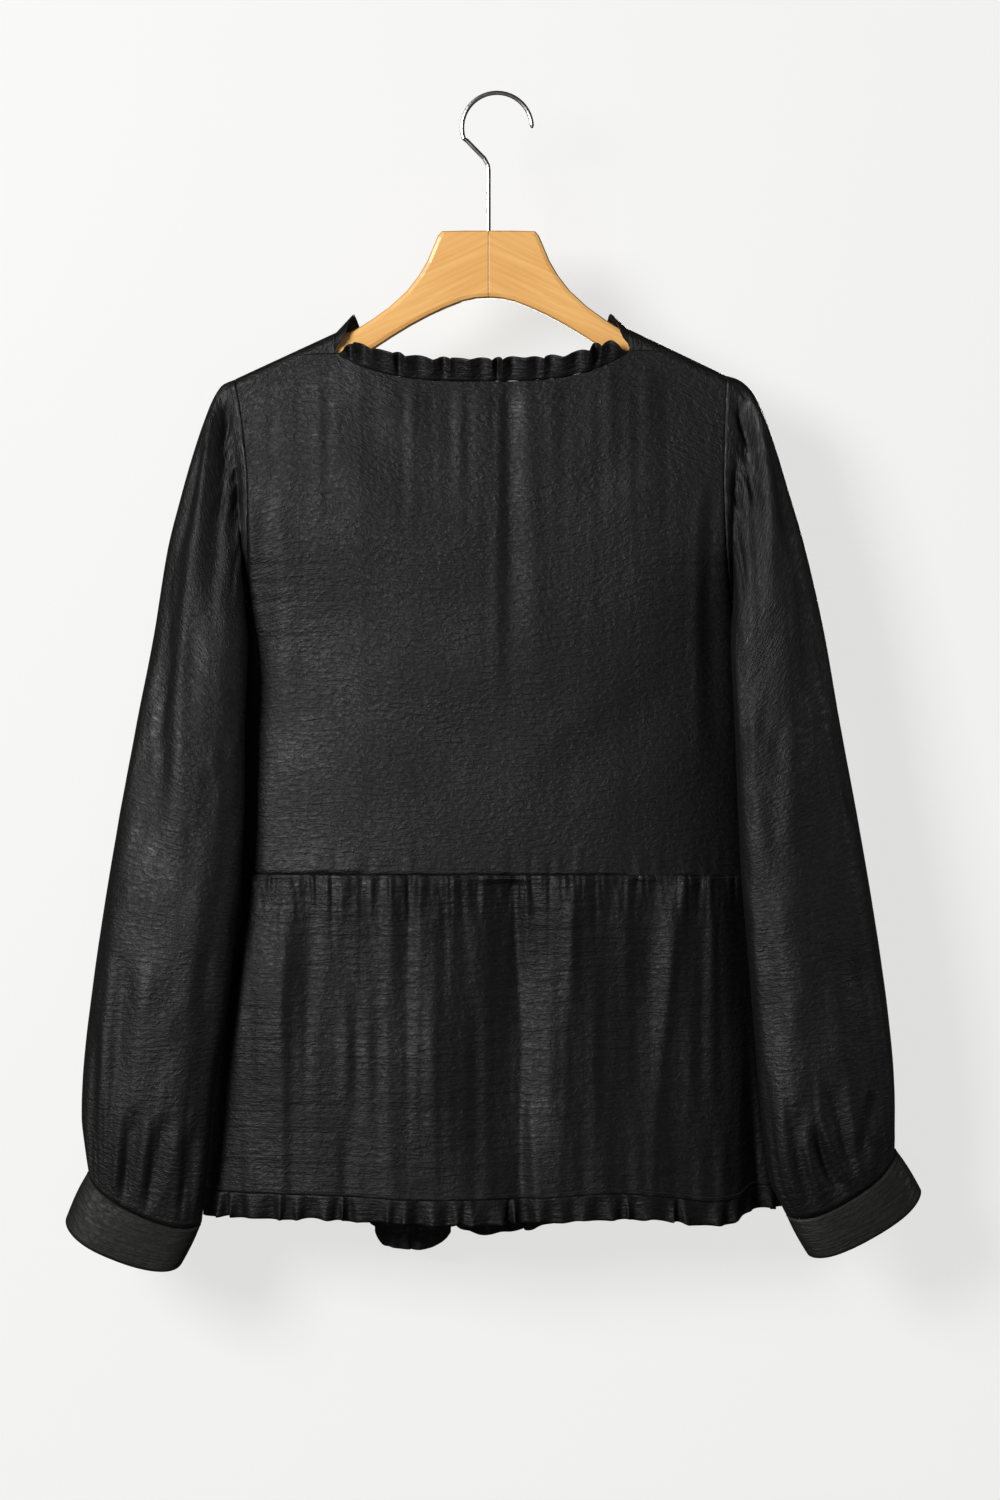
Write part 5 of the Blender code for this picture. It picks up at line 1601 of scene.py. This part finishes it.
# %% [markdown]
# ## The wooden hanger
#
# The hanger is cut from flat beech and varnished. Its two arms meet in a joint down the middle of
# the neck block, and the grain runs along each arm. The solid already has the right shape, so it
# stays and gets a better finish: long thin noise for the grain, folded about the joint.

# %% Wood
ALONG_GRAIN, THROUGH_GRAIN, ACROSS_GRAIN = 14.0, 90.0, 260.0
JOINT_START, JOINT_END = 0.00025, 0.0006


def varnished_wood():
    """The grain follows the two arms, which mirror each other about the joint."""
    finish = Finish("varnished_wood_grain")
    where = finish.place((1.0, 1.0, 1.0), uv=False)
    x, y, z = (finish.node("ShaderNodeSeparateXYZ", output=k, Vector=where) for k in range(3))
    reach = (x - HANGER_X * MM).size()
    across = z + reach * ARM_SLOPE
    on_arm = finish.node(
        "ShaderNodeCombineXYZ",
        X=reach * ALONG_GRAIN,
        Y=y * THROUGH_GRAIN,
        Z=across * ACROSS_GRAIN,
    )
    grain = finish.noise(on_arm, 1.0, detail=5.0, distortion=0.5)
    broad = finish.noise(where, 14.0, detail=2.0)
    colour = finish.mix(finish.between(grain, 0.35, 0.7), (0.92, 0.52, 0.18), (0.76, 0.37, 0.10))
    worn = finish.mix(broad * 0.4, colour, (0.82, 0.43, 0.13))
    joint = 1 - finish.between(reach, JOINT_START, JOINT_END)
    finish.set(
        Base_Color=finish.mix(joint * 0.7, worn, (0.3, 0.12, 0.03)),
        Roughness=0.26 + 0.15 * grain,
        Coat_Weight=0.4,
        Coat_Roughness=0.15,
    )
    finish.bump(grain - joint, 0.0003, 0.5)
    return finish.made


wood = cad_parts["hanger_wood"]
wood.data.materials.clear()
wood.data.materials.append(varnished_wood())
print("the hanger's finish:", wood.data.materials[0].name)

# %% [markdown]
# ## The wire hook
#
# The hook is plated steel wire. Metal shows what it reflects, so its finish is a grey metal, and
# fine noise in its colour and roughness stands for the rubbed plating.

# %% Wire
WIRE_RUB_SCALE = (300.0, 300.0, 300.0)


def plated_wire():
    finish = Finish("nickel_wire_brushed")
    rub = finish.noise(finish.place(WIRE_RUB_SCALE, uv=False), 1.0, detail=4.0)
    finish.set(
        Base_Color=finish.mix(rub * 0.4, (0.46, 0.44, 0.40), (0.3, 0.28, 0.25)),
        Roughness=0.22 + 0.2 * rub,
        Metallic=1.0,
    )
    finish.bump(rub, 0.0001, 0.4)
    return finish.made


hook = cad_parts["hanger_hook"]
hook.data.materials.clear()
hook.data.materials.append(plated_wire())
print("the hook's finish:", hook.data.materials[0].name)

# %% [markdown]
# ## Pale surfaces for the room
#
# The wall in the photo is evenly pale. A surface that glows a little stays even wherever the
# lights stand, and its dull colour still catches the blouse's shadow. The wall is clear from
# behind, so that views from there look past it.

# %% Pale finish
BACKFACING = 6
WARM_WHITE = (1.0, 1.0, 0.985)


def pale(name, colour, glow, one_sided):
    """A dull surface that glows by itself. One-sided, it is clear from behind."""
    finish = Finish(name)
    finish.set(Base_Color=colour, Roughness=0.9, Specular_IOR_Level=0.1)
    finish.set(Emission_Color=WARM_WHITE, Emission_Strength=glow)
    if one_sided:
        clear = finish.node("ShaderNodeBsdfTransparent")
        back = finish.node("ShaderNodeNewGeometry", output=BACKFACING)
        output = finish.tree.nodes["Material Output"]
        mixed = finish.tree.nodes.new("ShaderNodeMixShader")
        finish.tree.links.new(back.socket, mixed.inputs[0])
        finish.tree.links.new(finish.shader.outputs[0], mixed.inputs[1])
        finish.tree.links.new(clear.socket, mixed.inputs[2])
        finish.tree.links.new(mixed.outputs[0], output.inputs["Surface"])
    return finish.made


def seen_only(made):
    """A backdrop that shows in the picture and throws no light on the cloth."""
    made.visible_diffuse = False
    made.visible_glossy = False
    made.visible_transmission = False
    return made


print("colour of the glow:", WARM_WHITE)

# %% [markdown]
# ## Wall, floor and backdrop
#
# The wall stands just behind the blouse, as in the photo. It throws no shadow, so that the lights
# behind it reach the front of the blouse. The floor and a large ball round everything show only
# in views from other sides. None of them lights the cloth.

# %% Wall, floor and backdrop
bpy.ops.object.select_all(action="DESELECT")
bpy.ops.mesh.primitive_plane_add(size=8, location=(0, 0.085, -0.5), rotation=(math.pi / 2, 0, 0))
wall = seen_only(bpy.context.object)
wall.name = "wall"
wall.visible_shadow = False
wall.data.materials.append(pale("pale_wall", (0.2, 0.2, 0.197), 0.715, True))
bpy.ops.object.select_all(action="DESELECT")
bpy.ops.mesh.primitive_plane_add(size=8, location=(0, 0, -1.3))
floor = seen_only(bpy.context.object)
floor.name = "floor"
floor.data.materials.append(pale("pale_floor", (0.4, 0.4, 0.394), 0.4, False))
bpy.ops.object.select_all(action="DESELECT")
bpy.ops.mesh.primitive_uv_sphere_add(segments=48, ring_count=24, radius=9, location=(0, 0, -0.5))
dome = seen_only(bpy.context.object)
dome.name = "backdrop"
dome.visible_shadow = False
dome.data.materials.append(pale("pale_backdrop", (0.0, 0.0, 0.0), 0.8, False))
print("stage pieces:", wall.name, floor.name, dome.name)

# %% [markdown]
# ## Light
#
# The light of the photo is a large soft window high on the left, and a weak fill on the right
# keeps the dark side from going black. A low one lifts the hem and the cuffs. Two more light the
# front, which the photo doesn't show. Area lights are used, as their size makes shadows soft.

# %% Light
def soft_light(name, place, target, size, power):
    bpy.ops.object.select_all(action="DESELECT")
    bpy.ops.object.light_add(type="AREA", location=place)
    light = bpy.context.object
    light.name = name
    light.data.size = size
    light.data.energy = power
    turn = np.array(target) - np.array(place)
    light.rotation_euler = Vector(turn).to_track_quat("-Z", "Y").to_euler()


BODY_MIDDLE = (0, 0, -0.5)
soft_light("window", (-2.0, -2.6, 0.55), BODY_MIDDLE, 1.2, 134)
soft_light("fill", (2.9, -0.7, 0.2), BODY_MIDDLE, 1.2, 12)
soft_light("front_window", (0.75, 3.2, 0.3), BODY_MIDDLE, 0.9, 72)
soft_light("front_fill", (-0.3, 3.2, -0.9), BODY_MIDDLE, 0.9, 12)
soft_light("low_fill", (0.3, -3.2, -1.15), (0, 0, -0.8), 0.8, 5)
world = bpy.data.worlds.new("soft_room")
world.use_nodes = True
room = world.node_tree.nodes["Background"]
room.inputs["Color"].default_value = (1.0, 1.0, 0.99, 1.0)
room.inputs["Strength"].default_value = 0.05
bpy.context.scene.world = world
bpy.context.scene.view_settings.view_transform = "Standard"

# %% [markdown]
